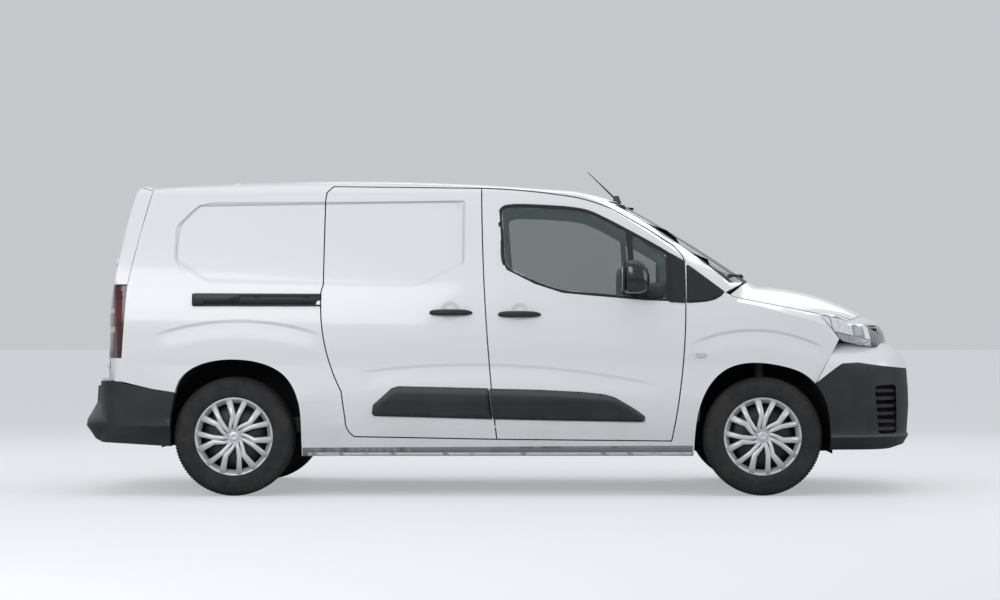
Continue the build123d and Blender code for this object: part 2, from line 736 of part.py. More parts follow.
aerial_foot = (cowl - 370, 1712)
with BuildPart() as aerial:
    with BuildSketch(Plane(origin=(aerial_foot[0], 0, aerial_foot[1]), z_dir=(-0.72, 0, 0.7))):
        Circle(6)
    extrude(amount=236, taper=1)
    with Locations((aerial_foot[0] + 4, 0, aerial_foot[1])):
        Cone(30, 12, 44)
    add(outer, mode=Mode.SUBTRACT)
write(aerial.part, "aerial")

# ---------------------------------------------------------------- wheels
wheel_places = {"fr": (front_axle, -1), "fl": (front_axle, 1),
                "rr": (rear_axle, -1), "rl": (rear_axle, 1)}
half_tread = tyre_width / 2
bead_x = half_tread - 14
rim_wall = 5
rim_in = rim_radius - 24
hub_gap = 0.5
stub_radius = 42


def arm(start, foot, tip):
    """Corners of a tapered arm; foot and tip each give radius, angle and width."""
    near = Vector(foot[0] * rim_radius, 0).rotate(Axis.Z, start + foot[1])
    far = Vector(tip[0] * (rim_radius - 6), 0).rotate(Axis.Z, start + tip[1])
    across = (far - near).normalized().rotate(Axis.Z, 90)
    return [near + across * foot[2] / 2, near - across * foot[2] / 2,
            far - across * tip[2] / 2, far + across * tip[2] / 2]


with BuildPart() as tyre:
    with BuildSketch(Plane.XY) as tyre_section:
        with BuildLine():
            Polyline((0, tyre_radius), (half_tread - 30, tyre_radius - 2),
                     (half_tread - 8, tyre_radius - 24), (half_tread, rim_radius + 50),
                     (half_tread - 14, rim_radius), (half_tread - 28, rim_radius),
                     (half_tread - 26, tyre_radius - 26), (0, tyre_radius - 18),
                     (0, tyre_radius))
        make_face()
        mirror(about=Plane.YZ)
    revolve(axis=Axis.X)

with BuildSketch(Plane.YZ) as trim_plan:
    Circle(rim_radius - 1)
    Circle(rim_radius - 13, mode=Mode.SUBTRACT)
    Circle(hub_radius)
    for number in range(spokes):
        begin = 360 / spokes * number + 46
        Polygon(*arm(begin, (0.16, 12, 15), (1, 0, 21)), align=None)
        Polygon(*arm(begin, (0.14, 58, 12), (0.6, 18, 20)), align=None)
        Polygon(*arm(begin, (0.55, 19, 20), (1, 26, 27)), align=None)

with BuildPart() as wheel:
    with BuildSketch(Plane.XY) as rim_section:
        with BuildLine():
            Polyline((bead_x, rim_radius), (bead_x - 14, rim_radius), (bead_x - 16, rim_in + 8),
                     (bead_x - 50, rim_in), (0, rim_in), (-bead_x + 50, rim_in),
                     (-bead_x + 16, rim_in + 8), (-bead_x + 14, rim_radius),
                     (-bead_x, rim_radius), (-bead_x, rim_radius - rim_wall),
                     (-bead_x + 9, rim_in + 8 - rim_wall), (-bead_x + 46, rim_in - rim_wall),
                     (bead_x - 46, rim_in - rim_wall), (bead_x - 9, rim_in + 8 - rim_wall),
                     (bead_x, rim_radius - rim_wall), (bead_x, rim_radius))
        make_face()
    revolve(axis=Axis.X)
    extrude(trim_plan.sketch.moved(Location((bead_x - 12, 0, 0))), amount=16)
    with BuildSketch(Plane.YZ.offset(bead_x - 48)) as disc:
        Circle(rim_in - 2)
        with PolarLocations(150, 2 * spokes):
            Circle(13, mode=Mode.SUBTRACT)
    extrude(amount=8)
    with BuildSketch(Plane.YZ.offset(bead_x - 60)) as hub:
        Circle(hub_radius - 8)
    extrude(amount=62)

for corner, (axle_x, hand) in wheel_places.items():
    track = track_front if corner[0] == "f" else track_rear
    turn = 90 * hand
    place = Location((axle_x, hand * track / 2, tyre_radius), (0, 0, turn))
    write(tyre.part.moved(place), "tyre_" + corner)
    write(wheel.part.moved(place), "wheel_" + corner)

# ---------------------------------------------------------------- front suspension
stub_face = track_front / 2 + bead_x - 60 - hub_gap
joint_y, joint_z = track_front / 2 - 52, 195
top_y, top_z = 588, 850
foot_rise = 10

with BuildPart() as knuckle:
    with BuildSketch(Plane.XZ.offset(stub_face)) as stub:
        with Locations((front_axle, tyre_radius)):
            Circle(stub_radius)
    extrude(stub.sketch, amount=-120)
    with Locations((front_axle, -joint_y + 16, 430)):
        Box(64, 40, 430 - joint_z - foot_rise, align=(Align.CENTER, Align.CENTER, Align.MAX))
    with BuildSketch(Plane(origin=(front_axle, -joint_y, joint_z),
                           z_dir=(0, joint_y - top_y, top_z - joint_z)).offset(3)) as ball:
        Circle(14)
    extrude(ball.sketch, amount=30)
    with Locations((front_axle, -645, 420)):
        Box(60, 110, 40)
    with BuildSketch(Plane(origin=(front_axle, -640, 405),
                           z_dir=(0, 640 - top_y, top_z - 405))) as strut:
        Circle(27)
    extrude(strut.sketch, amount=Vector(0, 640 - top_y, top_z - 405).length - 6)
    with BuildSketch(Plane(origin=(front_axle, -joint_y, joint_z),
                           z_dir=(0, joint_y - top_y, top_z - joint_z)).offset(
                               Vector(0, joint_y - top_y, top_z - joint_z).length - 30)) as seat:
        Circle(48)
    extrude(seat.sketch, amount=30)
both_sides(knuckle.part, "knuckle")

axis_dir = Vector(0, joint_y - top_y, top_z - joint_z).normalized()
rail_y = 415
rail_top = 525


def toe_front(z):
    """Where the front of the sloping toe board stands at a height."""
    return cowl + 106 + (z - 410) / 22


with BuildPart() as front_arm:
    with BuildSketch(Plane(origin=(front_axle, -top_y, top_z), z_dir=tuple(axis_dir)).offset(
            hub_gap)) as tower_plate:
        Circle(72)
    extrude(tower_plate.sketch, amount=14)
    with Locations((front_axle, -(top_y + 337) / 2, top_z + 12)):
        Box(130, top_y - 453, 34)
    with Locations((front_axle, -415, (top_z + 460) / 2)):
        Box(130, 40, top_z - 460)
    with Locations((toe_front(rail_top) + seat_gap, -rail_y, rail_top)):
        Box(nose_tip - 150 - toe_front(rail_top) - seat_gap, 56, rail_top - 415,
            align=(Align.MIN, Align.CENTER, Align.MAX))
    with Locations((front_axle - 40, -200, 260)):
        Box(360, 400, 60)
    with Locations((front_axle - 40, -400, 350)):
        Box(120, 40, 160)
    with Locations((front_axle - 10, -(380 + joint_y) / 2, joint_z - 15 - hub_gap)):
        Box(76, joint_y - 330, 30)
    with Locations((front_axle - 40, -370, 215)):
        Box(200, 60, 90)
    with Locations((nose_tip - 150, -230, 470)):
        Box(60, 460, 110)
    mirror(about=Plane.XZ)
write(front_arm.part, "front_frame")

# ---------------------------------------------------------------- rear axle and underfloor
rear_stub = track_rear / 2 + bead_x - 60 - hub_gap
with BuildPart() as rear_beam:
    with BuildSketch(Plane.XZ.offset(rear_stub)) as rear_hub:
        with Locations((rear_axle, tyre_radius)):
            Circle(stub_radius)
    extrude(rear_hub.sketch, amount=-200)
    with BuildSketch(Plane.XZ.offset(660)) as trailing:
        with BuildLine():
            Polyline((rear_axle - 60, 290), (rear_axle + 80, 280), (rear_axle + 520, 400),
                     (rear_axle + 520, 470), (rear_axle + 60, 390), (rear_axle - 60, 380),
                     (rear_axle - 60, 290))
        make_face()
    extrude(trailing.sketch, amount=-60)
    with BuildSketch(Plane.XZ) as tube:
        with Locations((rear_axle + 200, 360)):
            Circle(38)
    extrude(tube.sketch, amount=640)
    with Locations((rear_axle + 520, -640, load_floor - 16 - 65)):
        Box(90, 70, 130)
    mirror(about=Plane.XZ)
write(rear_beam.part, "rear_beam")

with BuildPart() as fuel_tank:
    with Locations((b_post - 480, 120, load_floor - 16 - 125)):
        Box(760, 900, 250)
    fillet(fuel_tank.edges().filter_by(Axis.Z), 60)
write(fuel_tank.part, "fuel_tank")

with BuildPart() as engine:
    with Locations((front_axle + 200, 0, 600)):
        Box(420, 640, 480)
    with Locations((front_axle + 60, 0, 325)):
        Box(160, 500, 70)
write(engine.part, "engine")

# ---------------------------------------------------------------- cab and load space
cabin = body_form(door_thickness + seat_gap)

liner_thickness = 12
liner_hub = 370
front_liner = 404
rear_liner = 424
front_inner = 470
wheelhouses = ((front_axle, front_liner, front_inner), (rear_axle, rear_liner, liner_inner))
tail_step = 658
lash_x, lash_span, lash_width = -1450, 900, 800
lash_bolt = 5.2
with BuildPart() as floor:
    extrude(polygon((tail_x + 70, load_floor), (b_post - 70, load_floor), (b_post - 70, 300),
                    (cowl - 60, 300), (cowl + 90, 420), (cowl + 120, 1070),
                    (toe_front(1070), 1070), (toe_front(410), 410), (cowl - 54, 285),
                    (b_post - 86, 285), (b_post - 86, load_floor - 16),
                    (tail_x + 70, load_floor - 16)), amount=side, both=True)
    add(inner, mode=Mode.INTERSECT)
    with Locations((tail_x + 12, 0, load_floor - 16)):
        Box(80, 2 * lamp_inner, tail_step - load_floor + 16,
            align=(Align.MIN, Align.CENTER, Align.MIN))
    add(rear_bumper.part, mode=Mode.SUBTRACT)
    for axle, radius, inboard in wheelhouses:
        for hand in (1, -1):
            with Locations((axle, hand * (inboard + side) / 2, liner_hub)):
                Cylinder(radius + liner_thickness, side - inboard, rotation=(90, 0, 0),
                         mode=Mode.SUBTRACT)
    with Locations((lash_x, 0, load_floor)):
        with GridLocations(lash_span, lash_width, 2, 2):
            Cylinder(lash_bolt, 60, mode=Mode.SUBTRACT)
write(floor.part, "floor")

with BuildPart() as posts:
    add(cabin)
    extrude(polygon((b_post + 58, load_floor), (b_post + 58, door_top - 70),
                    (b_post - 100, door_top - 40), (b_post - 190, door_top - 40),
                    (b_post - 190, 1100), (b_post - 130, load_floor)),
            amount=side, both=True, mode=Mode.INTERSECT)
    Box(length, 2 * (side - 130), 4 * roof_height, mode=Mode.SUBTRACT)
write(posts.part, "door_posts")

with BuildPart() as bulkhead:
    add(inner)
    with Locations((b_post - 150, 0, load_floor)):
        Box(16, width, roof_height, mode=Mode.INTERSECT,
            align=(Align.CENTER, Align.CENTER, Align.MIN))
    add(posts.part, mode=Mode.SUBTRACT)
write(bulkhead.part, "bulkhead")

def toe_back(z):
    """Where a piece seated on the toe board's cab side stands at a height."""
    return cowl + 90 + (z - 420) * 3 / 65 - seat_gap


with BuildPart() as dashboard:
    with BuildSketch(Plane.XZ) as dash_side:
        with BuildLine():
            Polyline((toe_back(780), 780), (cowl - 190, 700), (cowl - 262, 760),
                     (cowl - 250, 960), (cowl - 150, 1040), (toe_back(1075), 1075))
            Line((toe_back(1075), 1075), (toe_back(780), 780))
        make_face()
    extrude(amount=side, both=True)
    add(cabin, mode=Mode.INTERSECT)
write(dashboard.part, "dashboard")

wheel_y = 380
with BuildPart() as steering_wheel:
    with BuildSketch(Plane.XZ) as grip_round:
        with Locations((188, 0)):
            RegularPolygon(14, 8)
    revolve(axis=Axis.Z)
    with Locations((0, 0, -18)):
        Cylinder(62, 40)
    for spoke_turn in (0, 180, 270):
        with Locations(Location((0, 0, -10), (0, 0, spoke_turn))):
            Box(182, 36, 16, align=(Align.MIN, Align.CENTER, Align.CENTER))
    with Locations((0, 0, -120)):
        Cylinder(28, 190)
steering_place = Location((cowl - 400, wheel_y, 960), (0, -60, 0))
steering_solid = steering_wheel.part.moved(steering_place) - dashboard.part
write(steering_solid, "steering_wheel")

seat_x = b_post + 210
with BuildPart() as seat:
    with BuildSketch(Plane.XZ) as seat_side:
        with BuildLine():
            Polyline((seat_x, 300), (seat_x + 420, 300), (seat_x + 440, 470), (seat_x + 520, 500),
                     (seat_x + 500, 610), (seat_x + 110, 570), (seat_x - 10, 1230),
                     (seat_x - 110, 1235), (seat_x - 20, 480), (seat_x, 300))
        make_face()
    extrude(amount=240, both=True)
    fillet(seat.edges().filter_by(Axis.Y), 25)
with BuildPart() as seats:
    with Locations((0, wheel_y, 0), (0, -wheel_y, 0)):
        add(seat.part)
write(seats.part, "seats")


with BuildPart() as liners:
    for axle, radius, inboard in wheelhouses:
        with Locations((axle, 0, liner_hub)):
            Cylinder(radius + liner_thickness, 2 * side, rotation=(90, 0, 0))
            Cylinder(radius, 2 * side, rotation=(90, 0, 0), mode=Mode.SUBTRACT)
            Box(3 * radius, 2 * inboard, 3 * radius, mode=Mode.SUBTRACT)
            with Locations((0, 0, 150 - 2 * radius)):
                Box(3 * radius, 2 * side, 4 * radius, mode=Mode.SUBTRACT)
    add(inner, mode=Mode.INTERSECT)
    add(rear_bumper.part, mode=Mode.SUBTRACT)
    for hand in (1, -1):
        with Locations((front_axle, hand * top_y, liner_hub)):
            Cylinder(70, length, mode=Mode.SUBTRACT)
write(liners.part, "wheel_liners")
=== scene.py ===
# %% [markdown]
# # A long white panel van
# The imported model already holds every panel, wheel and hinge at its real size
# and place. This notebook dresses it: paint, grained plastic, glass, lamps,
# tyres with tread, and the small parts that a painter or fitter adds last.

# %% Load the model
import json
import math
import bpy
import bmesh
from mathutils import Matrix, Vector, geometry
from mathutils.bvhtree import BVHTree


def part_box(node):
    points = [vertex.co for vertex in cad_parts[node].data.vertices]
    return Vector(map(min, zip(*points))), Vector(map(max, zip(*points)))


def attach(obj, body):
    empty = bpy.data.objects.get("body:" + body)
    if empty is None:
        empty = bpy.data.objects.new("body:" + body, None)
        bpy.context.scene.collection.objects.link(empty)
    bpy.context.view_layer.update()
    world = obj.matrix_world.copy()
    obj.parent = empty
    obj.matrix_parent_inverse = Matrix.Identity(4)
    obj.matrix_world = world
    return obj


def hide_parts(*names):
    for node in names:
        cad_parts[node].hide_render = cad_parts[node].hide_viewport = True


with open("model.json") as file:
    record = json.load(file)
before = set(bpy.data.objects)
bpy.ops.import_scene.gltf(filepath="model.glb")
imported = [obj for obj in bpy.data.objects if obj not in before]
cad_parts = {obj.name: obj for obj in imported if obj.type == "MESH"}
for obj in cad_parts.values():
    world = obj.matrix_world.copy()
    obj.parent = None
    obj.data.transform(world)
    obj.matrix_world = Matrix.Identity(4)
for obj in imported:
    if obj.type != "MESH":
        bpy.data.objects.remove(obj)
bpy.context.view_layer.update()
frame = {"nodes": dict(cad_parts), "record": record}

record = frame["record"]
body_of = {node: body for body, nodes in record["behaviour"]["bodies"].items() for node in nodes}
slot_of = {entry["node"]: entry["material_slot"] for entry in record["subparts"]}

# %% [markdown]
# Shader maths reads best as sums. A small class wraps one socket, and each
# operator adds the Math node that does the same work, so `1 - mask * 0.3` is a
# chain of nodes. Every other node comes from one method that takes its type.

# %% A socket that can be added and multiplied
class Value:
    def __init__(self, tree, socket):
        self.tree, self.socket = tree, socket

    def node(self, kind, settings=None, out=0, **inputs):
        """A new node; its inputs go by name, or by number as i0, i1 and so on."""
        made = self.tree.nodes.new(kind)
        for key, setting in (settings or {}).items():
            setattr(made, key, setting)
        for key, value in inputs.items():
            by_number = key[0] == "i" and key[1:].isdigit()
            target = made.inputs[int(key[1:]) if by_number else key.replace("_", " ")]
            if isinstance(value, Value):
                self.tree.links.new(value.socket, target)
            else:
                target.default_value = value
        return Value(self.tree, made.outputs[out])

    def math(self, operation, *others):
        values = {"i%d" % number: value for number, value in enumerate((self,) + others)}
        return self.node("ShaderNodeMath", {"operation": operation}, **values)

    def __add__(self, other): return self.math("ADD", other)
    def __sub__(self, other): return self.math("SUBTRACT", other)
    def __mul__(self, other): return self.math("MULTIPLY", other)
    def __truediv__(self, other): return self.math("DIVIDE", other)
    __radd__, __rmul__ = __add__, __mul__

    def __rsub__(self, other):
        return self.node("ShaderNodeMath", {"operation": "SUBTRACT"}, i0=other, i1=self)

    def steps(self, low, high):
        """A soft rise from zero to one between two bounds."""
        return self.node("ShaderNodeMapRange", {"interpolation_type": "SMOOTHSTEP"},
                         Value=self, From_Min=low, From_Max=high)

    def tint(self, dark, light):
        """The colour between two that this value names."""
        return self.node("ShaderNodeMix", {"data_type": "RGBA"}, out=2, i0=self,
                         i6=(*dark, 1), i7=(*light, 1))


print("operators: + - * / and steps, tint")

# %% [markdown]
# Each finish is one Principled surface. Its constants are typed straight onto
# the shader, and only what changes over the surface - a little colour, some
# roughness and the bump - comes through nodes on Object coordinates.

# %% A finish from its constants and patterns
finishes = {}


def finish_of(name, color, roughness, metallic=0.0, pattern=None, **constants):
    """A Principled material; pattern(place) may give Base Color, Roughness and bump."""
    made = bpy.data.materials.new(name)
    made.use_nodes = True
    tree = made.node_tree
    shader = tree.nodes["Principled BSDF"]
    constants.update(Base_Color=(*color, 1), Roughness=roughness, Metallic=metallic)
    for key, value in constants.items():
        shader.inputs[key.replace("_", " ")].default_value = value
    place = Value(tree, tree.nodes.new("ShaderNodeTexCoord").outputs["Object"])
    for key, value in pattern(place).items():
        if key == "bump":
            height, depth = value
            value = place.node("ShaderNodeBump", Height=height, Strength=1.0, Distance=depth)
            key = "Normal"
        tree.links.new(value.socket, shader.inputs[key])
    made.diffuse_color = (*color, 1)
    finishes[name] = made


def noise(place, scale, detail=3.0):
    return place.node("ShaderNodeTexNoise", Vector=place, Scale=scale, Detail=detail,
                      Roughness=0.55)


def cells(place, scale):
    return place.node("ShaderNodeTexVoronoi", Vector=place, Scale=scale)


def mottled(color=None, rough=None, bump=None, source=noise):
    """A pattern: color is (scale, dark, light), rough (scale, spread, least), bump (scale,
    depth)."""
    def pattern(place):
        made = {}
        if color:
            made["Base Color"] = source(place, color[0]).tint(*color[1:])
        if rough:
            made["Roughness"] = source(place, rough[0]) * rough[1] + rough[2]
        if bump:
            scale, depth, *detail = bump
            made["bump"] = (source(place, scale, *detail), depth)
        return made
    return pattern


def grey(level):
    return (level, level, level)


def axes(place):
    """The length, width and height of a spot, as three values."""
    return [place.node("ShaderNodeSeparateXYZ", out=axis, Vector=place) for axis in range(3)]


def between(value, low, high, soft=0.002):
    """One between two bounds and zero outside, with soft edges."""
    return value.steps(low - soft, low + soft) * (1 - value.steps(high - soft, high + soft))


def over(tone, *layers):
    """A colour with others laid over it in turn, each where its mask is one."""
    for mask, top in layers:
        tone = mask.node("ShaderNodeMix", {"data_type": "RGBA"}, out=2, i0=mask, i6=tone,
                         i7=(*top, 1))
    return tone


print("patterns: noise, cells and zones")

# %% [markdown]
# White van paint is a flat solid colour under clear lacquer. Low on the sides
# it carries a thin film of road dust, which dulls the gloss a little; the
# lacquer itself has the faint ripple that a sprayer calls orange peel. The
# pressings are shallow, so they are shaded here: each haunch over a wheel and
# the crease along the doors is a short step that turns under a curved line, and
# each door handle has a round hollow behind it. The load panels and the panels
# of the tail doors are sunk a little, with soft edges.

# %% Body paint
white, dusty = (0.80, 0.815, 0.83), (0.66, 0.655, 0.64)
# arched steps: middle, top, fall to the sides, start, end, depth
arches = ((1.43, 0.944, 0.62, 1.06, 1.86, 0.008), (-1.46, 0.996, 0.36, -1.95, -0.985, 0.008),
          (-0.15, 0.750, 0.105, -0.80, 0.90, 0.005))
# hollows behind the handles: place, height, radius, depth
hollows = ((0.120, 1.035, 0.055, 0.008), (-0.271, 1.040, 0.060, 0.008))
load_panel_depth, door_panel_depth, ripple = 0.016, 0.008, 0.00004


def pressed(x, z, middle, top, fall, start, end, depth):
    """A step below an arched line, fading out at both ends."""
    turn, fade = 0.022, 0.12
    off = x - middle
    below = off * off * -fall + top - z
    step = below.steps(0.0, turn) * (1 - below.steps(0.02, fade))
    return step * x.steps(start, start + fade) * (1 - x.steps(end - fade, end)) * -depth


def hollow(x, z, at, height, radius, depth):
    off, rise = x - at, z - height
    reach = (off * off + rise * rise).math("SQRT")
    return (1 - reach.steps(radius * 0.45, radius)) * -depth


def load_panel(x, z):
    """The panel's two long edges, its two ends, and its three sloping corners."""
    soft = 0.034
    return ((x * 0.016 + 1.672 - z).steps(-0.004, 0.014)
            * (z - 1.158 - x * -0.022).steps(0.0, soft)
            * x.steps(-1.835, -1.805) * (1 - x.steps(-0.212, -0.190))
            * ((x + 1.754) * 0.707 - (z - 1.594) * 0.707).steps(-0.005, 0.018)
            * ((x + 1.818) * 0.555 + (z - 1.307) * 0.832).steps(0.0, soft)
            * ((x + 0.458) * -0.449 + (z - 1.166) * 0.893).steps(0.0, soft))


def paint_pattern(place):
    x, y, z = axes(place)
    splash_foot, splash_top, soft = 0.22, 0.75, 0.014
    dust = (1 - z.steps(splash_foot, splash_top)) * noise(place, 6.0).steps(0.3, 0.8)
    pressings = [pressed(x, z, *arch) for arch in arches] + [hollow(x, z, *cup) for cup in hollows]
    shape = sum(pressings[1:], pressings[0])
    door_panels = (between(z, 1.08, 1.62, soft) * (1 - x.steps(-2.10, -2.00))
                   * (between(y, -0.66, -0.23, soft) + between(y, -0.05, 0.66, soft)))
    shape = shape + load_panel(x, z) * -load_panel_depth + door_panels * -door_panel_depth
    return {"Base Color": (dust * 0.5).tint(white, dusty), "Roughness": dust * 0.25 + 0.30,
            "bump": (noise(place, 260.0, 1.0) * ripple + shape, 1.0)}


finish_of("body_paint", white, 0.3, pattern=paint_pattern, Coat_Weight=0.6, Coat_Roughness=0.06)
finish_of("floor_paint", (0.62, 0.63, 0.64), 0.5, pattern=mottled(
    (9.0, (0.55, 0.56, 0.57), (0.68, 0.69, 0.70)), (30.0, 0.3, 0.35), (120.0, 0.0002)))
print("paints:", sorted(finishes))

# %% [markdown]
# The bumpers and rubbing strips are moulded in colour. The mould is etched, so
# the skin has a leathery grain of about a millimetre, and road grime greys it.
# Faces that point up are painted lighter: a painted highlight where light from
# above falls on them, together with settled dust.

# %% Moulded plastics
def grained(dark, light, scale=620.0, depth=0.00012):
    # the lighter tone of upward faces: painted highlight, with settled dust
    dust = tuple(channel * 3.2 + 0.012 for channel in light)

    def pattern(place):
        pits, wear = cells(place, scale), noise(place, 5.0, 4.0)
        # upward faces lighter: painted highlight and dust
        dust_and_top_highlight = axes(place.node("ShaderNodeTexCoord", out=1))[2].steps(0.12, 0.45)
        return {"Base Color": over(wear.steps(0.35, 0.75).tint(dark, light), (dust_and_top_highlight * 0.6, dust)),
                "Roughness": wear * 0.15 + pits * 0.2 + 0.45, "bump": (pits, depth)}
    return pattern


finish_of("grained_plastic", (0.014, 0.0145, 0.016), 0.6,
          pattern=grained((0.010, 0.0105, 0.012), (0.021, 0.0215, 0.024)))
finish_of("cabin_plastic", (0.05, 0.05, 0.055), 0.6,
          pattern=grained((0.035, 0.035, 0.038), (0.06, 0.06, 0.064), 900.0, 0.00008))
finish_of("under_plastic", grey(0.02), 0.8,
          pattern=grained(grey(0.012), (0.035, 0.033, 0.03), 200.0, 0.0003))
finish_of("black_gloss", (0.012, 0.012, 0.014), 0.18, Coat_Weight=0.5, Coat_Roughness=0.05,
          pattern=mottled(rough=(14.0, 0.12, 0.1), bump=(150.0, 0.00003, 1.0)))
# felt: near-black, used for the arch linings as a liner and as painted shade
finish_of("felt", grey(0.006), 0.95, pattern=mottled((60.0, grey(0.003), grey(0.010))))
finish_of("seal_rubber", grey(0.012), 0.75, pattern=mottled((40.0, grey(0.008), grey(0.02))))
print("plastics done:", len(finishes))

# %% [markdown]
# Glass lets light through by Alpha, so the cab behind it is lit and the far
# windows show. The tail lamp is dense red with paler bars across it.

# %% Glass and lenses
def film(dark, light):
    return mottled((3.0, dark, light), (12.0, 0.05, 0.02))


finish_of("tinted_glass", (0.05, 0.065, 0.06), 0.03, Alpha=0.32, Coat_Weight=1.0,
          pattern=film((0.085, 0.128, 0.126), (0.10, 0.148, 0.146)))
finish_of("screen_glass", (0.03, 0.042, 0.042), 0.04, Alpha=0.62, Specular_IOR_Level=0.12,
          pattern=film((0.026, 0.038, 0.038), (0.036, 0.05, 0.05)))
finish_of("frit", (0.008, 0.009, 0.010), 0.5, Specular_IOR_Level=0.12,
          pattern=mottled((30.0, (0.006, 0.007, 0.008), (0.012, 0.013, 0.014))))


def tail_lamp_pattern(place):
    x, y, z = axes(place)
    glow = cells(place, 120.0)
    tone = over(glow.tint((0.030, 0.0016, 0.002), (0.070, 0.003, 0.004)),
                (between(z, 0.985, 1.10) * 0.8, (0.10, 0.004, 0.006)),
                (between(z, 0.921, 0.951) * (1 - x.steps(-2.165, -2.155)), (0.55, 0.34, 0.32)),
                (between(z, 1.030, 1.052) * between(x, -2.215, -2.165), (0.66, 0.50, 0.48)),
                (between(z, 0.960, 0.972) + between(z, 0.903, 0.909), (0.02, 0.002, 0.003)))
    return {"Base Color": tone, "bump": (glow, 0.0003), "Roughness": glow * 0.1 + 0.08}


finish_of("lamp_red", (0.12, 0.003, 0.006), 0.12, Coat_Weight=0.4, pattern=tail_lamp_pattern)
print("glass done:", len(finishes))

# %% [markdown]
# The headlamp's depth is painted onto its cover: a chrome bowl at the back, the
# square lens, a bright blade beside it, a black bezel towards the nose and
# along the top, and the turn signal's ribbed strip underneath. The chrome
# bowl's facets are painted lighter and darker at random, a painted reflection,
# and the strip's ribs are painted as lighter bands, painted highlights. The
# zones are set by length and height on the lamp.

# %% Headlamp
def headlamp_pattern(place):
    x, y, z = axes(place)
    # the bowl's facets: lighter and darker cells, painted reflection in the chrome; they also give bump
    # and roughness
    facets_and_glints = cells(place, 70.0)
    top_line = (x - 1.817) * -0.188 + 1.030
    strip_line = (x - 1.885) * -0.21 + 0.925
    # the ribs: lighter bands on the strip, painted highlights
    rib_glints = (x * 420.0).math("SINE").steps(-1.0, 1.0)
    strip = 1 - (z - strip_line).steps(-0.002, 0.002)
    tone = over(facets_and_glints.steps(0.0, 0.9).tint((0.50, 0.52, 0.54), (0.86, 0.88, 0.90)),
                (between(x, 1.872, 1.880), (0.22, 0.23, 0.24)),
                (between(x, 1.999, 2.070), (0.16, 0.22, 0.25)),
                (between(x, 2.012, 2.058) * between(z, 0.905, 0.950), (0.36, 0.46, 0.44)),
                (between(x, 2.074, 2.100), (0.90, 0.91, 0.92)),
                (strip, (0.30, 0.32, 0.34)),
                (strip * rib_glints * 0.6, (0.55, 0.57, 0.60)),
                (between(z - strip_line, -0.003, 0.001, 0.001), (0.05, 0.05, 0.055)),
                ((z - top_line).steps(-0.014, -0.009), (0.02, 0.02, 0.022)),
                (x.steps(2.100, 2.106), (0.015, 0.015, 0.018)),
                (between(x, 2.118, 2.124) + between(x, 2.150, 2.155), (0.10, 0.105, 0.11)))
    return {"Base Color": tone, "Roughness": facets_and_glints * 0.1 + 0.08, "bump": (facets_and_glints, 0.0016)}


finish_of("headlamp", (0.6, 0.62, 0.64), 0.1, 0.25, Coat_Weight=1.0, Coat_Roughness=0.02,
          pattern=headlamp_pattern)
finish_of("lamp_pale", grey(0.6), 0.15, Coat_Weight=1.0,
          pattern=mottled((140.0, grey(0.5), (0.75, 0.74, 0.72)), source=cells))
finish_of("plate_white", (0.72, 0.72, 0.70), 0.35,
          pattern=mottled((25.0, (0.68, 0.68, 0.66), (0.75, 0.75, 0.73))))
finish_of("reflector", (0.86, 0.87, 0.88), 0.08, 1.0,
          pattern=mottled(rough=(60.0, 0.15, 0.04), bump=(60.0, 0.0008), source=cells))
print("lamps done:", len(finishes))

# %% [markdown]
# Wheels and running gear: a satin silver lacquer on the trims, dusty black
# rubber, turned iron on the discs and a rough cast skin on the knuckles.

# %% Wheels and running gear
finish_of("wheel_silver", (0.66, 0.67, 0.69), 0.32, 0.3, pattern=mottled(
    (18.0, (0.62, 0.63, 0.65), (0.70, 0.71, 0.73)), (60.0, 0.15, 0.26), (700.0, 0.00003, 1.0)))
finish_of("wheel_steel", (0.02, 0.02, 0.022), 0.5, 0.4,
          pattern=mottled((30.0, (0.014, 0.014, 0.015), (0.04, 0.038, 0.036))))
finish_of("tyre", grey(0.02), 0.8, pattern=lambda place: {
    "Base Color": noise(place, 12.0, 5.0).steps(0.35, 0.8).tint((0.009, 0.009, 0.010),
                                                                (0.028, 0.027, 0.026)),
    **mottled(rough=(60.0, 0.2, 0.68), bump=(500.0, 0.00008, 2.0))(place)})
finish_of("disc_iron", (0.30, 0.29, 0.28), 0.35, 1.0,
          pattern=mottled((22.0, (0.24, 0.22, 0.2), (0.38, 0.37, 0.36)), (90.0, 0.3, 0.25)))
finish_of("cast_metal", (0.13, 0.125, 0.12), 0.7, 0.6,
          pattern=mottled((15.0, (0.08, 0.075, 0.07), (0.2, 0.18, 0.16)), bump=(300.0, 0.0003)))
finish_of("chassis_steel", (0.03, 0.03, 0.032), 0.5, pattern=mottled(
    (8.0, (0.02, 0.02, 0.022), (0.07, 0.06, 0.05)), (30.0, 0.3, 0.4), (200.0, 0.0002)))
finish_of("bare_flange", (0.52, 0.54, 0.56), 0.45, 0.15,
          pattern=mottled((20.0, (0.46, 0.48, 0.50), (0.60, 0.62, 0.64))))
# painted shade: the sill recess's white paint, coloured mid-grey as it looks in shadow
finish_of("turned_under", (0.20, 0.205, 0.21), 0.6,
          pattern=mottled((10.0, (0.16, 0.163, 0.168), (0.26, 0.265, 0.27))))
finish_of("seat_fabric", (0.06, 0.06, 0.066), 0.95, Sheen_Weight=0.4, pattern=mottled(
    (700.0, (0.035, 0.035, 0.04), (0.085, 0.085, 0.092)), bump=(700.0, 0.0006), source=cells))
print("finishes:", len(finishes))

# %% [markdown]
# A mesh that is made from points and faces needs the same three things each
# time: its doubles merged, its faces turned outwards, and its shading smooth
# except at folds. These few helpers do that, join meshes, and hand the result
# to the body that it rides on.

# %% Small mesh tools
def mesh_of(name, points, faces):
    mesh = bpy.data.meshes.new(name)
    mesh.from_pydata(points, [], faces)
    mesh.validate()
    return mesh


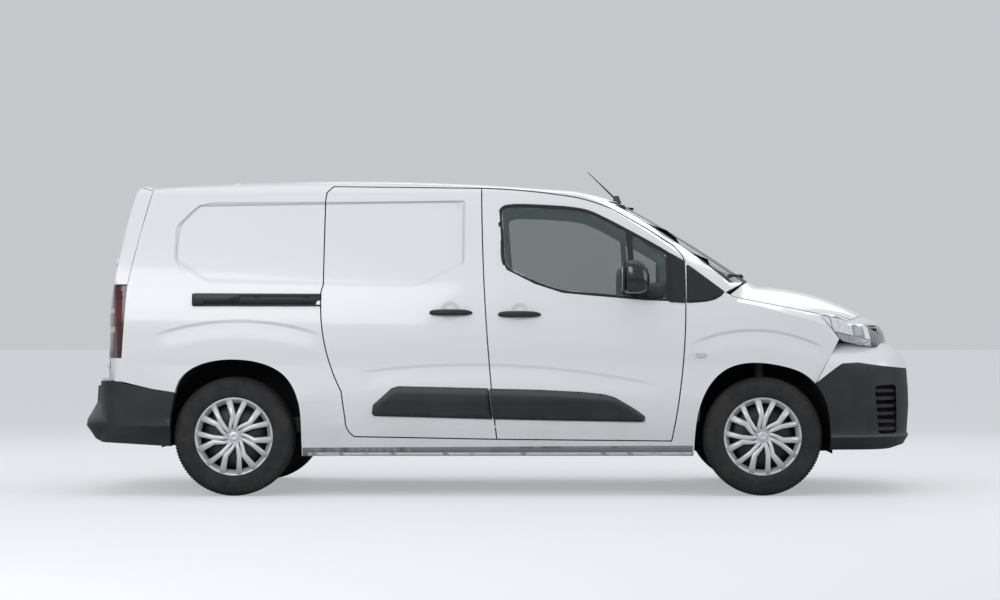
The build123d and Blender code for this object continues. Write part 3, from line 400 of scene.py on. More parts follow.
def shade(work, fold):
    """Smooth faces in an edit mesh, but for edges that fold more than an angle."""
    for face in work.faces:
        face.smooth = True
    for edge in work.edges:
        edge.smooth = len(edge.link_faces) == 2 and edge.calc_face_angle(0.0) < math.radians(fold)


def tidy_mesh(mesh, fold=35.0):
    """Doubles merged, normals made to point out, smooth but for folds."""
    work = bmesh.new()
    work.from_mesh(mesh)
    bmesh.ops.remove_doubles(work, verts=work.verts, dist=0.00001)
    bmesh.ops.recalc_face_normals(work, faces=work.faces)
    shade(work, fold)
    work.to_mesh(mesh)
    work.free()
    return mesh


def lathe(name, profile, turns=72):
    """A closed profile of (y, radius) pairs in millimetres, turned about the Y axis."""
    points = [(r / 1000 * math.cos(a), y / 1000, r / 1000 * math.sin(a)) for a in
              (2 * math.pi * n / turns for n in range(turns)) for y, r in profile]
    size = len(profile)
    faces = [(n * size + k, n * size + (k + 1) % size, (n + 1) % turns * size + (k + 1) % size,
              (n + 1) % turns * size + k) for n in range(turns) for k in range(size)]
    return mesh_of(name, points, faces)


def skinned(rows, sides, closed=True):
    """Quads between rows of points laid end to end, and a face over each end."""
    span = range(sides if closed else sides - 1)
    faces = [(n * sides + k, n * sides + (k + 1) % sides, (n + 1) * sides + (k + 1) % sides,
              (n + 1) * sides + k) for n in range(rows - 1) for k in span]
    return faces + [tuple(range(sides)), tuple(reversed(range((rows - 1) * sides, rows * sides)))]


def loft(name, stations, sides=28, power=2.4):
    """A closed skin through rounded sections: each a centre and two half-widths as vectors."""
    def squared(value):
        return math.copysign(abs(value) ** (2 / power), value)
    turns = [2 * math.pi * k / sides for k in range(sides)]
    points = [Vector(centre) + Vector(a) * squared(math.cos(turn)) + Vector(b) * squared(math.sin(turn))
              for centre, a, b in stations for turn in turns]
    return tidy_mesh(mesh_of(name, points, skinned(len(stations), sides)), 50.0)


def join_meshes(name, meshes):
    """Several meshes as one, each face keeping its material."""
    points, faces, marks, kinds, smooth = [], [], [], [], []
    for mesh in meshes:
        base = len(points)
        points += [tuple(v.co) for v in mesh.vertices]
        faces += [[base + i for i in p.vertices] for p in mesh.polygons]
        for material in mesh.materials:
            if material not in kinds:
                kinds.append(material)
        marks += [kinds.index(mesh.materials[p.material_index]) if mesh.materials else 0
                  for p in mesh.polygons]
        smooth += [p.use_smooth for p in mesh.polygons]
    whole = bpy.data.meshes.new(name)
    whole.from_pydata(points, [], faces)
    for material in kinds:
        whole.materials.append(material)
    whole.polygons.foreach_set("material_index", marks)
    whole.polygons.foreach_set("use_smooth", smooth)
    return whole


def coated(mesh, finish):
    """The mesh, in one finish only."""
    mesh.materials.clear()
    mesh.materials.append(finishes[finish])
    return mesh


def place_mesh(mesh, matrix, name=None):
    made = mesh.copy()
    made.transform(matrix)
    if matrix.determinant() < 0:
        made.flip_normals()
    made.name = name or mesh.name
    return made


def show(name, mesh):
    """A mesh as an object in the scene."""
    made = bpy.data.objects.new(name, mesh)
    bpy.context.scene.collection.objects.link(made)
    return made


def fit(mesh, name, body, finish=None, replaces=()):
    """Put a finished mesh in the scene, riding on its body."""
    mesh.name = name
    piece = show(name, coated(mesh, finish) if finish else mesh)
    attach(piece, body)
    if replaces:
        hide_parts(*replaces)


mirror_y = Matrix.Diagonal((1, -1, 1, 1))


def both(mesh, name, body, finish, replaces=()):
    """A right-hand mesh and its mirrored twin: one piece on the van, or one on each side."""
    other = place_mesh(mesh, mirror_y, name + "_left")
    if body == "van":
        fit(join_meshes(name, [mesh, other]), name, body, finish, replaces)
        return
    for side, half in (("right", mesh), ("left", other)):
        own = [node for node in replaces if node.endswith("_" + side[0])]
        fit(half, name + "_" + side, body + "_" + side, finish, own)


print("mesh tools: lathe, loft, join, fit")

# %% [markdown]
# Most of the pieces that a fitter adds - window frames, rubbing strips, lamp
# covers - are thin plates that follow the bodywork. So one tool draws them: an
# outline is drawn square on from the side, front or back, filled with an even
# net of points, and every point is dropped along the view until it lands on the
# packed panel. The plate then gets a face, a back and walls.

# %% Rays and outlines
# each view: the way the eye looks, and the axes that its two drawing directions run along
views = {"right": (Vector((0, 1, 0)), Vector((1, 0, 0)), Vector((0, 0, 1))),
         "back": (Vector((1, 0, 0)), Vector((0, 1, 0)), Vector((0, 0, 1))),
         "front": (Vector((-1, 0, 0)), Vector((0, 1, 0)), Vector((0, 0, 1)))}
eye_distance = 6.0


def skin_of(*nodes):
    """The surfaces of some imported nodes, to drop points on."""
    points, faces = [], []
    for node in nodes:
        mesh = frame["nodes"][node].data
        base = len(points)
        points += [v.co.copy() for v in mesh.vertices]
        faces += [[base + i for i in p.vertices] for p in mesh.polygons]
    return BVHTree.FromPolygons(points, faces)


def land(skin, view, u, v):
    """Where a point drawn in a view lands on a skin, or None."""
    way, across, up = views[view]
    return skin.ray_cast(way * -eye_distance + across * u + up * v, way)[0]


def rounded(corners, radius, steps=5):
    """An outline with its corners rounded; one radius, or one for each corner."""
    radii = [radius] * len(corners) if isinstance(radius, (int, float)) else radius
    outline = []
    for n, corner in enumerate(corners):
        here = Vector(corner)
        before, after = Vector(corners[n - 1]) - here, Vector(corners[(n + 1) % len(corners)]) - here
        turn = before.angle(after)
        reach = min(radii[n] / max(math.tan(turn / 2), 0.01), before.length * 0.48, after.length * 0.48)
        if reach < 0.0005 or turn > 3.10:
            outline.append(tuple(here))
            continue
        start, end = here + before.normalized() * reach, here + after.normalized() * reach
        for k in range(steps + 1):
            t = k / steps
            outline.append(tuple(start * (1 - t) ** 2 + here * 2 * t * (1 - t) + end * t * t))
    return outline


def box_of(left, low, right, high):
    """The four corners of an upright rectangle."""
    return [(left, low), (right, low), (right, high), (left, high)]


def smooth(points, steps=6):
    """A closed curve that passes through every point."""
    loop, count = [Vector(p) for p in points], len(points)
    slopes = []
    for n in range(count):
        before, here, after = loop[n - 1], loop[n], loop[(n + 1) % count]
        a, b = (here - before).length ** 0.5, (after - here).length ** 0.5
        slopes.append((here - before) / a - (after - before) / (a + b) + (after - here) / b)
    curve = []
    for n in range(count):
        start, end = loop[n], loop[(n + 1) % count]
        span = (end - start).length ** 0.5
        lead, trail = slopes[n] * span, slopes[(n + 1) % count] * span
        for k in range(steps):
            t = k / steps
            curve.append(tuple(start * (2 * t ** 3 - 3 * t ** 2 + 1) + lead * (t ** 3 - 2 * t ** 2 + t)
                               + end * (3 * t ** 2 - 2 * t ** 3) + trail * (t ** 3 - t ** 2)))
    return curve


def sides_of(outline):
    """Each run of an outline, as its two ends."""
    return zip(outline, outline[1:] + outline[:1])


def inside(point, outline):
    """Whether a point lies in an outline."""
    x, y = point
    hit = False
    for (ax, ay), (bx, by) in sides_of(outline):
        if (ay > y) != (by > y) and x < (bx - ax) * (y - ay) / (by - ay) + ax:
            hit = not hit
    return hit


def grown(outline, amount):
    """An outline moved outwards all round, or inwards if the amount is negative."""
    hand = 1 if sum(a[0] * b[1] - b[0] * a[1] for a, b in sides_of(outline)) > 0 else -1
    moved = []
    for n, here in enumerate(outline):
        before, after = Vector(outline[n - 1]), Vector(outline[(n + 1) % len(outline)])
        a, b = (Vector(here) - before).normalized(), (after - Vector(here)).normalized()
        out = Vector((a.y + b.y, -a.x - b.x)) * hand
        out.normalize()
        lean = max(0.35, abs(out.dot(Vector((a.y, -a.x)))))
        moved.append((here[0] + out.x * amount / lean, here[1] + out.y * amount / lean))
    return moved


def evenly(outline, step):
    """An outline cut into runs no longer than a step."""
    points = []
    for a, b in sides_of(outline):
        cuts = max(1, math.ceil(math.dist(a, b) / step))
        points += [tuple(a[n] + (b[n] - a[n]) * k / cuts for n in (0, 1)) for k in range(cuts)]
    return points


print("views:", sorted(views))


# %% Plates laid on the bodywork
def net_of(outline, holes, step):
    """Points and triangles that fill an outline and leave its holes."""
    def filled(spot):
        return inside(spot, outline) and not any(inside(spot, hole) for hole in holes)
    points, edges = [], []
    for loop in [evenly(loop, step) for loop in [outline, *holes]]:
        base = len(points)
        points += loop
        edges += [(base + n, base + (n + 1) % len(loop)) for n in range(len(loop))]
    rim = len(points)
    low = [min(p[k] for p in outline) for k in (0, 1)]
    high = [max(p[k] for p in outline) for k in (0, 1)]
    rows, columns = int((high[1] - low[1]) / step) + 2, int((high[0] - low[0]) / step) + 2
    for row in range(rows):
        for column in range(columns):
            spot = (low[0] + (column + 0.5 * (row % 2)) * step, low[1] + row * step)
            if filled(spot) and min(math.dist(spot, p) for p in points[:rim]) > step * 0.45:
                points.append(spot)
    made = geometry.delaunay_2d_cdt([Vector(p) for p in points], edges, [], 0, 1e-7)
    spots = [tuple(p) for p in made[0]]
    return spots, [list(face) for face in made[2]
                   if filled([sum(spots[i][k] for i in face) / len(face) for k in (0, 1)])]


def plate(name, outline, skin, lift, depth, step=30, edge=0, view="right", holes=(), crown=None):
    """A closed plate with an outline drawn in a view, laid on a skin.

    In millimetres, lift is how far its face stands off the skin, depth its
    thickness, step its net and edge the width of its bevelled rim. crown gives
    a height over the outline's points."""
    neighbours, stray = 7, 0.03  # a point that lands this far from its neighbours' middle joins them
    spots, faces = net_of(outline, holes, step / 1000)
    way, across, up = views[view]
    landed = [land(skin, view, u, v) for u, v in spots]
    known = [(Vector(spot), point.dot(way)) for spot, point in zip(spots, landed) if point]
    sheet = []
    for spot, point in zip(spots, landed):
        reach = point.dot(way) if point else None
        near = sorted(known, key=lambda k: (k[0] - Vector(spot)).length)[:neighbours]
        middle = sorted(k[1] for k in near)[len(near) // 2]
        if reach is None or abs(reach - middle) > stray:
            reach = middle
        rise = lift / 1000 + (crown(*spot) if crown else 0.0)
        sheet.append(across * spot[0] + up * spot[1] + way * (reach - rise))
    work = bmesh.new()
    tops = [work.verts.new(p) for p in sheet]
    backs = [work.verts.new(p + way * (depth / 1000)) for p in sheet]
    for face in faces:
        try:
            work.faces.new([tops[i] for i in face])
            work.faces.new([backs[i] for i in reversed(face)])
        except ValueError:
            pass
    index = {v: n for n, v in enumerate(tops)}
    for rim in [e for e in work.edges if len(e.link_faces) == 1 and e.verts[0] in index]:
        a, b = (index[v] for v in rim.verts)
        work.faces.new((tops[a], backs[a], backs[b], tops[b]))
    for vert in [v for v in work.verts if not v.link_faces]:
        work.verts.remove(vert)
    bmesh.ops.recalc_face_normals(work, faces=work.faces)
    if edge:
        work.edges.ensure_lookup_table()
        sharp = [e for e in work.edges if len(e.link_faces) == 2 and all(v in index for v in e.verts)
                 and e.calc_face_angle(0) > math.radians(50)]
        bmesh.ops.bevel(work, geom=sharp, offset=edge / 1000, segments=2, profile=0.6,
                        affect="EDGES", clamp_overlap=True)
    mesh = bpy.data.meshes.new(name)
    work.to_mesh(mesh)
    work.free()
    return tidy_mesh(mesh, 40.0)


print("plate tool ready")

# %% [markdown]
# Many places come from the imported boxes: the front door's front and rear
# edges, the sliding door's rear edge and the axles. Outlines are then written as
# distances from these marks, in millimetres, as on a drawing.

# %% Landmarks
door_low, door_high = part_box("front_door_r")
b_post, cowl = door_low[0] + 0.0315, door_high[0] - 0.0025
c_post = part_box("sliding_doors")[0][0] + 0.0065
axle_front, axle_rear = ((low[0] + high[0]) / 2 for low, high in
                         (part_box("tyre_fr"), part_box("tyre_rr")))


def drawn(mark, points):
    """Points given in millimetres, the first number as a distance from a mark."""
    return [(mark + x / 1000, z / 1000) for x, z in points]


print("marks:", [round(mark, 4) for mark in (b_post, cowl, c_post, axle_front, axle_rear)])

# %% [markdown]
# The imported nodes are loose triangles, flat shaded. Each is copied, its doubles
# merged, and its smooth faces shaded as one, with hard edges kept where the
# panel really folds. The copy then stands for the node.
#
# The tail is rounded in plan: towards its corners the doors and lamps curve
# forward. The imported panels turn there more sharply, so the copies are cut along
# a few upright planes and eased round.

# %% Round the rear corners
most_eased, corner_cuts = 0.062, (0.46, 0.58, 0.68, 0.76, 0.82, 0.86)


def share(value):
    return max(0.0, min(1.0, value))


def ease(points):
    """Bring points behind the tail door seams forward towards the outer corners."""
    waist, bumper_top, soft = 1.19, 0.648, 0.11
    for point in points:
        x, y, z = point.co
        seam = -2.085 + (0.254 if z > waist else 0.07) * (z - waist)
        if z > bumper_top:
            point.co.x += most_eased * share((seam - x) / soft) * share((abs(y) - 0.38) / 0.44) ** 1.6


def ease_corner(work):
    """Cut a mesh along upright planes near the rear corners, then ease it."""
    for across in [-cut for cut in reversed(corner_cuts)] + list(corner_cuts):
        near = [f for f in work.faces if min(v.co.x for v in f.verts) < -1.93]
        geom = near + list({e for f in near for e in f.edges} | {v for f in near for v in f.verts})
        bmesh.ops.bisect_plane(work, geom=geom, plane_co=(0, across, 0), plane_no=(0, 1, 0),
                               dist=0.0001)
    ease(work.verts)


print("corner cuts:", len(corner_cuts) * 2)


# %% Dress the nodes
def dress(node, fold, finish):
    """A smooth-shaded copy of a node in its finish, standing for it."""
    mesh = frame["nodes"][node].data.copy()
    work = bmesh.new()
    work.from_mesh(mesh)
    bmesh.ops.remove_doubles(work, verts=work.verts, dist=0.00004)
    bmesh.ops.dissolve_degenerate(work, dist=0.00002, edges=work.edges)
    if node in eased_nodes:
        ease_corner(work)
    if node == "rear_bumper":  # its lower edge rises a little towards the tail
        geom = work.faces[:] + work.edges[:] + work.verts[:]
        bmesh.ops.bisect_plane(work, geom=geom, plane_co=(-2.2, 0, 0.302), plane_no=(-0.062, 0, -1),
                               clear_outer=True, dist=0.0001)
        bmesh.ops.holes_fill(work, edges=[e for e in work.edges if e.is_boundary], sides=0)
    shade(work, fold)
    for face in work.faces:
        face.material_index = 0
    work.to_mesh(mesh)
    work.free()
    fit(mesh, node + "_dressed", body_of[node], finish, [node])


eased_nodes = {"tail_door_r", "tail_door_l", "tail_lamps", "quarter_panels", "roof", "side_frames"}
wheel_places = ("fr", "fl", "rr", "rl")
own_pieces = {kind + place for kind in ("tyre_", "wheel_") for place in wheel_places}
made_later = {"door_trim_r", "door_trim_l", "slide_trim", "mirror_r", "mirror_l", "wipers"}
soft_panels = eased_nodes | {"fenders", "bonnet", "bumper_cover", "nose_panel", "front_bumper",
                             "rear_bumper", "headlamps"}
soft_fold, hard_fold = 44.0, 28.0
own_finish = {"headlamps": "headlamp", "windscreen": "screen_glass", "repeaters": "lamp_pale"}
to_dress = sorted(set(frame["nodes"]) - own_pieces - made_later)
for node in to_dress:
    dress(node, soft_fold if node in soft_panels else hard_fold, own_finish.get(node, slot_of[node]))
print("dressed:", len(to_dress))

# %% [markdown]
# A van's door window is held in a black rubber and plastic surround. One bar
# divides the dropping glass from the fixed quarter light, and ahead of it a
# black sail panel carries the mirror. The wing repeats the black as a triangle,
# so that the glass seems to run on to the foot of the windscreen.

# %% Door window surrounds
window = smooth(drawn(b_post, [
    (67, 1603), (90, 1633), (147, 1644), (334, 1639), (485, 1627), (569, 1610), (662, 1569),
    (942, 1417), (1024, 1367), (1048, 1346), (1050, 1103), (1031, 1096), (893, 1101), (614, 1125),
    (428, 1142), (270, 1193), (111, 1273), (88, 1320), (78, 1443)]))
pane, door_skin = skin_of("door_glass_r"), skin_of("front_door_r", "door_glass_r")
surround = plate("surround", grown(window, 0.0045), pane, 4.6, 4, 30, 1.2,
                 holes=[grown(window, -0.0165)])
bars = [plate(name, rounded(drawn(cowl, corners), radius), skin, *sizes)
        for name, corners, radius, skin, sizes in (
            ("bar", [(-331, 1500), (-297, 1482), (-268, 1108), (-300, 1110)],
             0.004, pane, (4, 3.6, 30, 1)),
            ("rear_edge", [(-104, 1375), (-75, 1360), (-72, 1104), (-103, 1104)],
             0.006, pane, (3.8, 3.4, 30, 1)),
            ("sail", [(-84, 1372), (-2, 1325), (1, 1150), (1, 1086), (-86, 1091)],
             0.004, door_skin, (4.8, 9, 20, 1.5)))]
both(join_meshes("window_surround", [surround, *bars]), "window_surround", "front_door", "seal_rubber")

wing_outline = drawn(cowl, [(11, 1309), (60, 1274), (226, 1150), (206, 1126), (170, 1105),
                            (120, 1093), (60, 1088), (11, 1086)])
wing_sail = plate("wing_sail", rounded(wing_outline, 0.010), skin_of("side_frames", "fenders"),
                  2.2, 6, 25, 1.2)
both(wing_sail, "wing_sail", "van", "seal_rubber")
print("window surround faces:", len(surround.polygons))

# %% [markdown]
# What repeats is made once and set round a ring by Geometry Nodes. The tree
# drops points on a spot, turns a copy of the incoming mesh at each by its
# number, and realizes the copies, so one arm, bolt or tread block becomes the
# whole set. The result is then kept as a plain mesh.

# %% A ring of copies
def ring_tree(material):
    tree = bpy.data.node_groups.new("ring_of_" + material.name, "GeometryNodeTree")
    for name, kind, way in (("Geometry", "Geometry", "INPUT"), ("Count", "Int", "INPUT"),
                            ("Start", "Float", "INPUT"), ("Geometry", "Geometry", "OUTPUT")):
        tree.interface.new_socket(name, in_out=way, socket_type="NodeSocket" + kind)
    get = tree.nodes.new("NodeGroupInput")
    shape, count, start = (Value(tree, get.outputs[name]) for name in ("Geometry", "Count", "Start"))
    number = Value(tree, tree.nodes.new("GeometryNodeInputIndex").outputs[0])
    turns = number.node("ShaderNodeCombineXYZ", Y=number / count * (2 * math.pi) + start)
    spots = count.node("GeometryNodePoints", Count=count)
    copies = spots.node("GeometryNodeInstanceOnPoints", Points=spots, Instance=shape, Rotation=turns)
    real = copies.node("GeometryNodeRealizeInstances", Geometry=copies)
    painted = real.node("GeometryNodeSetMaterial", Geometry=real, Material=material)
    tree.links.new(painted.socket, tree.nodes.new("NodeGroupOutput").inputs[0])
    return tree


def ring(mesh, name, finish, count, start=0.0):
    """The mesh repeated round the Y axis, as a plain mesh."""
    seed = show(name, mesh)
    modifier = seed.modifiers.new("ring", "NODES")
    modifier.node_group = ring_tree(finishes[finish])
    for item in modifier.node_group.interface.items_tree:
        if item.name in ("Count", "Start"):
            modifier[item.identifier] = count if item.name == "Count" else start
    bpy.context.view_layer.update()
    solid = bpy.data.meshes.new_from_object(seed.evaluated_get(bpy.context.evaluated_depsgraph_get()))
    bpy.data.objects.remove(seed)
    solid.name = name
    return solid


print("ring tool ready")

# %% [markdown]
# The tyre is one lathe, in millimetres: a bead, a bulged wall with its scuff
# rib, a rounded shoulder and a tread with three deep grooves. The blocks beside
# the grooves are shallow cut bars, set round by the ring, a little staggered
# from side to side so that the tread does not look printed.

# %% Tyre
tall, bead, blocks_round = 334.5, 220.0, 112
half_tyre = [(8.5, tall), (8.5, tall - 8), (15.5, tall - 8), (15.5, tall), (46, tall - 0.6),
             (46.5, tall - 8), (53.5, tall - 8), (54, tall - 0.8), (78, tall - 3.5), (90, tall - 8.5),
             (98.5, tall - 19), (103, tall - 33), (106.2, tall - 50), (107.3, tall - 64),
             (106.6, tall - 72), (107.2, tall - 74), (106.4, tall - 90), (102, bead + 13),
             (99, bead + 8), (98.5, bead + 1), (88, bead - 1), (80, bead + 10), (83, bead + 50),
             (70, tall - 30), (20, tall - 22)]
other_half = [(-y, r) for y, r in reversed(half_tyre)]


def turned(name, finish, profile, turns=72, fold=35.0):
    """A lathed piece in its finish."""
    return coated(tidy_mesh(lathe(name, profile, turns), fold), finish)


tyre_mesh = turned("tyre_turned", "tyre", half_tyre + other_half, 120, 30.0)


def tread_block(name, corners, low, high, taper):
    """A tread block from its four (y, turn) corners, between two radii, in millimetres."""
    middle = [sum(corner[k] for corner in corners) / 4 for k in (0, 1)]
    top = [(y + (middle[0] - y) * taper, a + (middle[1] - a) * taper) for y, a in corners]
    points = [(r / 1000 * math.cos(a), y / 1000, r / 1000 * math.sin(a))
              for ends, r in ((corners, low), (top, high)) for y, a in ends]
    return mesh_of(name, points, [(4, 5, 6, 7), (0, 1, 5, 4), (1, 2, 6, 5), (2, 3, 7, 6), (3, 0, 4, 7)])


# each block: its inner and outer y, the turns of its corners, its two radii and its taper
block_kinds = (("shoulder_block", 56, 93, (0, 0.006, 0.040, 0.034), tall - 14, tall - 1.6, 0.06),
               ("wall_lug", 92.5, 101.2, (0.004, 0.006, 0.036, 0.038), tall - 26, tall - 9.5, 0.2),
               ("centre_block", 16.5, 45, (0.010, 0, 0.036, 0.046), tall - 8, tall + 0.4, 0.05))
blocks = []
for side, lead in ((1, 0.0), (-1, 0.028)):
    for name, inner, outer, turns, low, high, taper in block_kinds:
        corners = [(side * y, lead + turn) for y, turn in zip((inner, outer, outer, inner), turns)]
        block = tidy_mesh(tread_block(name, corners, low, high, taper))
        blocks.append(ring(block, name + "_ring", "tyre", blocks_round))
tread_mesh = join_meshes("tread_blocks", blocks)
print("tyre faces:", len(tyre_mesh.polygons), "tread faces:", len(tread_mesh.polygons))

# %% [markdown]
# The trim is a silver cover in front of a black steel wheel. Seven pairs of
# arms swirl round it: in each pair one arm runs straight to the hub, and its
# neighbour bends halfway and runs down beside it. Each arm is a tapered bar
# with bevelled edges, and the ring repeats the pair seven times.

# %% Wheel trim
rim, face, arm_depth = 221.5, 98.5, 16.0
arm_section = ((-0.5, -arm_depth), (-0.5, -6.0), (-0.37, -0.3), (0.0, 0.4), (0.37, -0.3), (0.5, -6.0),
               (0.5, -arm_depth))


def arm_bar(path):
    """A bevelled bar along (radius share, degrees, width in mm) stations in the wheel's face."""
    centres = [Vector((rim * r * math.cos(math.radians(a)), rim * r * math.sin(math.radians(a))))
               for r, a, w in path]
    points = []
    for n, (r, a, w) in enumerate(path):
        runs = [(centres[k + 1] - centres[k]).normalized() for k in (n - 1, n) if 0 <= k < len(path) - 1]
        ahead = sum(runs, Vector((0, 0))).normalized()
        across = Vector((-ahead.y, ahead.x)) / max(0.6, ahead.dot(runs[0]))
        front = face - 12 * (1 - r) ** 2 - 3 * r
        for side_step, rise in arm_section:
            spot = centres[n] + across * w * side_step
            points.append((-spot.x / 1000, (front + rise) / 1000, spot.y / 1000))
    return tidy_mesh(mesh_of("arm", points, skinned(len(path), len(arm_section), closed=False)), 14.0)


straight = arm_bar([(0.165, 16, 21), (0.3, 12, 23), (0.52, 7.8, 26.5), (0.965, 0.3, 31.5)])
bent = arm_bar([(0.165, 55, 17), (0.3, 36, 20.5), (0.52, 20.6, 29.5), (0.965, 26.3, 38)])
pairs, first_turn = 7, math.radians(20.3)
arms = ring(join_meshes("pair_of_arms", [straight, bent]), "trim_arms", "wheel_silver", pairs,
            first_turn)
rim_ring = turned("trim_ring", "wheel_silver",
                  [(face - 32, rim - 34), (face - 9.5, rim - 12.5), (face - 5.5, rim - 10.5),
                   (face - 4.2, rim - 3), (face - 7, rim), (face - 22, rim),
                   (face - 36, rim - 32)], 96, 30.0)
cap = turned("trim_cap", "wheel_silver",
             [(face - 30, 41), (face - 15, 41), (face - 12.5, 38.5), (face - 12, 31),
              (face - 15, 30), (face - 15, 28.5), (face - 8, 27.5), (face - 6.2, 25),
              (face - 5.8, 14), (face - 5.2, 0.4), (face - 30, 0.4)], 64, 30.0)
trim_mesh = join_meshes("wheel_trim", [arms, rim_ring, cap])
print("trim faces:", len(trim_mesh.polygons))

# %% [markdown]
# Behind the trim stand a plain steel wheel with five bolts and a valve, the
# turned brake disc and a caliper. They are seen through the trim's openings,
# dark, so they are simple.

# %% Steel wheel, disc and caliper
steel = turned("steel_wheel", "wheel_steel",
               [(84, rim - 4), (64, 208), (30, 204), (-50, 204), (-78, 209), (-93, rim - 2),
                (-95, rim - 8), (-74, 204), (-40, 199), (30, 199), (54, 201), (79, rim - 12)])
dish = turned("steel_dish", "wheel_steel",
              [(26, 199.5), (48, 150), (62, 118), (56, 82), (56, 0.4), (48, 0.4), (48, 80),
               (54, 115), (40, 145), (18, 199.5)])
disc = turned("brake_disc", "disc_iron",
              [(14, 126), (14, 90), (30, 86), (34, 70), (34, 30), (-4, 30), (-4, 126)], 64, 25.0)
nut = tidy_mesh(lathe("nut", [(0, 10.5), (10, 10), (13, 7.5), (13, 0.4), (0, 0.4)], 6), 20.0)
dish_face, bolt_circle, valve_reach, valve_turn = 0.056, 0.054, 0.176, 2.35
nut.transform(Matrix.Translation((bolt_circle, dish_face, 0.0)))
nuts = ring(nut, "wheel_bolts", "cast_metal", 5, 0.4)
valve = turned("valve", "seal_rubber",
               [(0, 3.5), (22, 3.2), (24, 4.5), (34, 4.5), (35, 0.4), (0, 0.4)], 12, 30.0)
valve.transform(Matrix.Translation((valve_reach * math.cos(valve_turn), dish_face,
                                    valve_reach * math.sin(valve_turn))))

saddle = ((0.046, 0.090), (0.050, 0.126), (0.038, 0.158), (-0.020, 0.160), (-0.036, 0.140),
          (-0.036, 0.090))
caliper_points, reach, half_turn = [], 0.118, 26
stations = [math.radians(a) for a in range(-half_turn, half_turn + 1, 4)]
for a in stations:  # a rounded saddle over the disc's front edge, thinner towards both ends
    swell = 1 - 0.25 * abs(a) / math.radians(half_turn)
    for y, r in saddle:
        r = reach + (r - reach) * swell
        caliper_points.append((r * math.cos(a), y * swell, r * math.sin(a)))
caliper = tidy_mesh(mesh_of("caliper", caliper_points, skinned(len(stations), len(saddle))), 40.0)
caliper.materials.append(finishes["cast_metal"])
turning = join_meshes("wheel_set", [steel, dish, nuts, valve, disc])
print("wheel faces:", len(turning.polygons))

# %% Wheels on their hubs
carriers = {"fr": "knuckle_right", "fl": "knuckle_left"}
whole_tyre = join_meshes("tyre", [tyre_mesh, tread_mesh])
whole_wheel = join_meshes("wheel", [trim_mesh, turning])
for corner in wheel_places:
    tyre_low, tyre_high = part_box("tyre_" + corner)
    hub = (Vector(tyre_low) + Vector(tyre_high)) / 2
    right = corner[1] == "r"
    turn = Matrix.Translation(hub) @ Matrix.Rotation(math.pi if right else 0, 4, "Z")
    body = body_of["wheel_" + corner]
    fit(place_mesh(whole_tyre, turn), "tyre_" + corner + "_moulded", body, None,
        ["tyre_" + corner])
    fit(place_mesh(whole_wheel, turn), "wheel_" + corner + "_built", body, None,
        ["wheel_" + corner])
    # front calipers sit ahead of the disc and rear ones behind it
    tilt = Matrix.Rotation(math.pi if (corner[0] == "f") == right else 0, 4, "Y")
    fit(place_mesh(caliper, turn @ tilt), "caliper_" + corner, carriers.get(corner, "van"), None,
        ())
print("wheels set:", len(wheel_places))

# %% [markdown]
# The wheel arches are lined with near-black felt, so that nothing pale shows
# round the tyres: it stands for the liner and is a dark sheet of painted shade
# inside the arch. Each lining is one bent sheet: a band that runs over the wheel
# and down its two sides, and a wall towards the middle of the van.

# %% Wheel arch linings
hub_height, thin = 0.370, 0.004


def arch_lining(axle, radius, inner, outer, foot):
    turns = [math.radians(a) for a in range(0, 181, 9)]
    arc = [(axle + radius * math.cos(t), hub_height + radius * math.sin(t)) for t in turns]
    arc = [(axle + radius, foot), *arc, (axle - radius, foot)]
    points, faces, count = [], [], len(arc)
    for y, shrink in ((outer, 0.0), (inner, 0.0), (inner - thin, -thin), (outer, -thin)):
        points += [(x + (x - axle) / radius * -shrink, -y, z + (-shrink if z > foot else 0))
                   for x, z in arc]
    for a, b in ((0, 1), (2, 3), (3, 0)):
        faces += [(a * count + n, a * count + n + 1, b * count + n + 1, b * count + n)
                  for n in range(count - 1)]
    faces += [tuple(range(count, 2 * count)), tuple(reversed(range(2 * count, 3 * count))),
              (0, count, 2 * count, 3 * count),
              (count - 1, 4 * count - 1, 3 * count - 1, 2 * count - 1)]
    return tidy_mesh(mesh_of("lining", points, faces), 30.0)


# near-black felt linings: the arch liner, and painted shade inside the arch
linings = join_meshes("linings", [arch_lining(axle_front, 0.397, 0.468, 0.780, 0.235),
                                  arch_lining(axle_rear, 0.417, 0.504, 0.780, 0.270)])
both(linings, "arch_linings", "van", "felt")
print("lining faces:", len(linings.polygons))

# %% [markdown]
# Along each side run the rubbing strips, one on each door, with a wide bevel on
# top that catches the light and, facing up, is also painted lighter: a painted
# highlight. They are plates with a crown: the height falls off towards the upper
# edge.

# %% Rubbing strips
side_skin = skin_of("front_door_r", "sliding_doors", "quarter_panels", "sills", "fenders")
bevel_width, bevel_rise = 0.036, 0.015


def strip(name, top, foot_points, run, backwards):
    """A plate under a top edge, whose crown slopes down to that edge."""
    def crown(x, z):
        edge = top[-1][1]
        for (ax, az), (bx, bz) in zip(top, top[1:]):
            if min(ax, bx) <= x <= max(ax, bx):
                edge = az + (bz - az) * (x - ax) / (bx - ax)
        low = 0.434 - 0.018 * (x - b_post) / run
        return bevel_rise * max(0.0, min(1.0, (edge - z) / bevel_width, (z - low) / 0.006 + 0.3))
    outline = rounded((top[::-1] if backwards else top) + drawn(b_post, foot_points), 0.012)
    return plate(name, outline, side_skin, 3, 8.5, 13, 1, crown=crown)


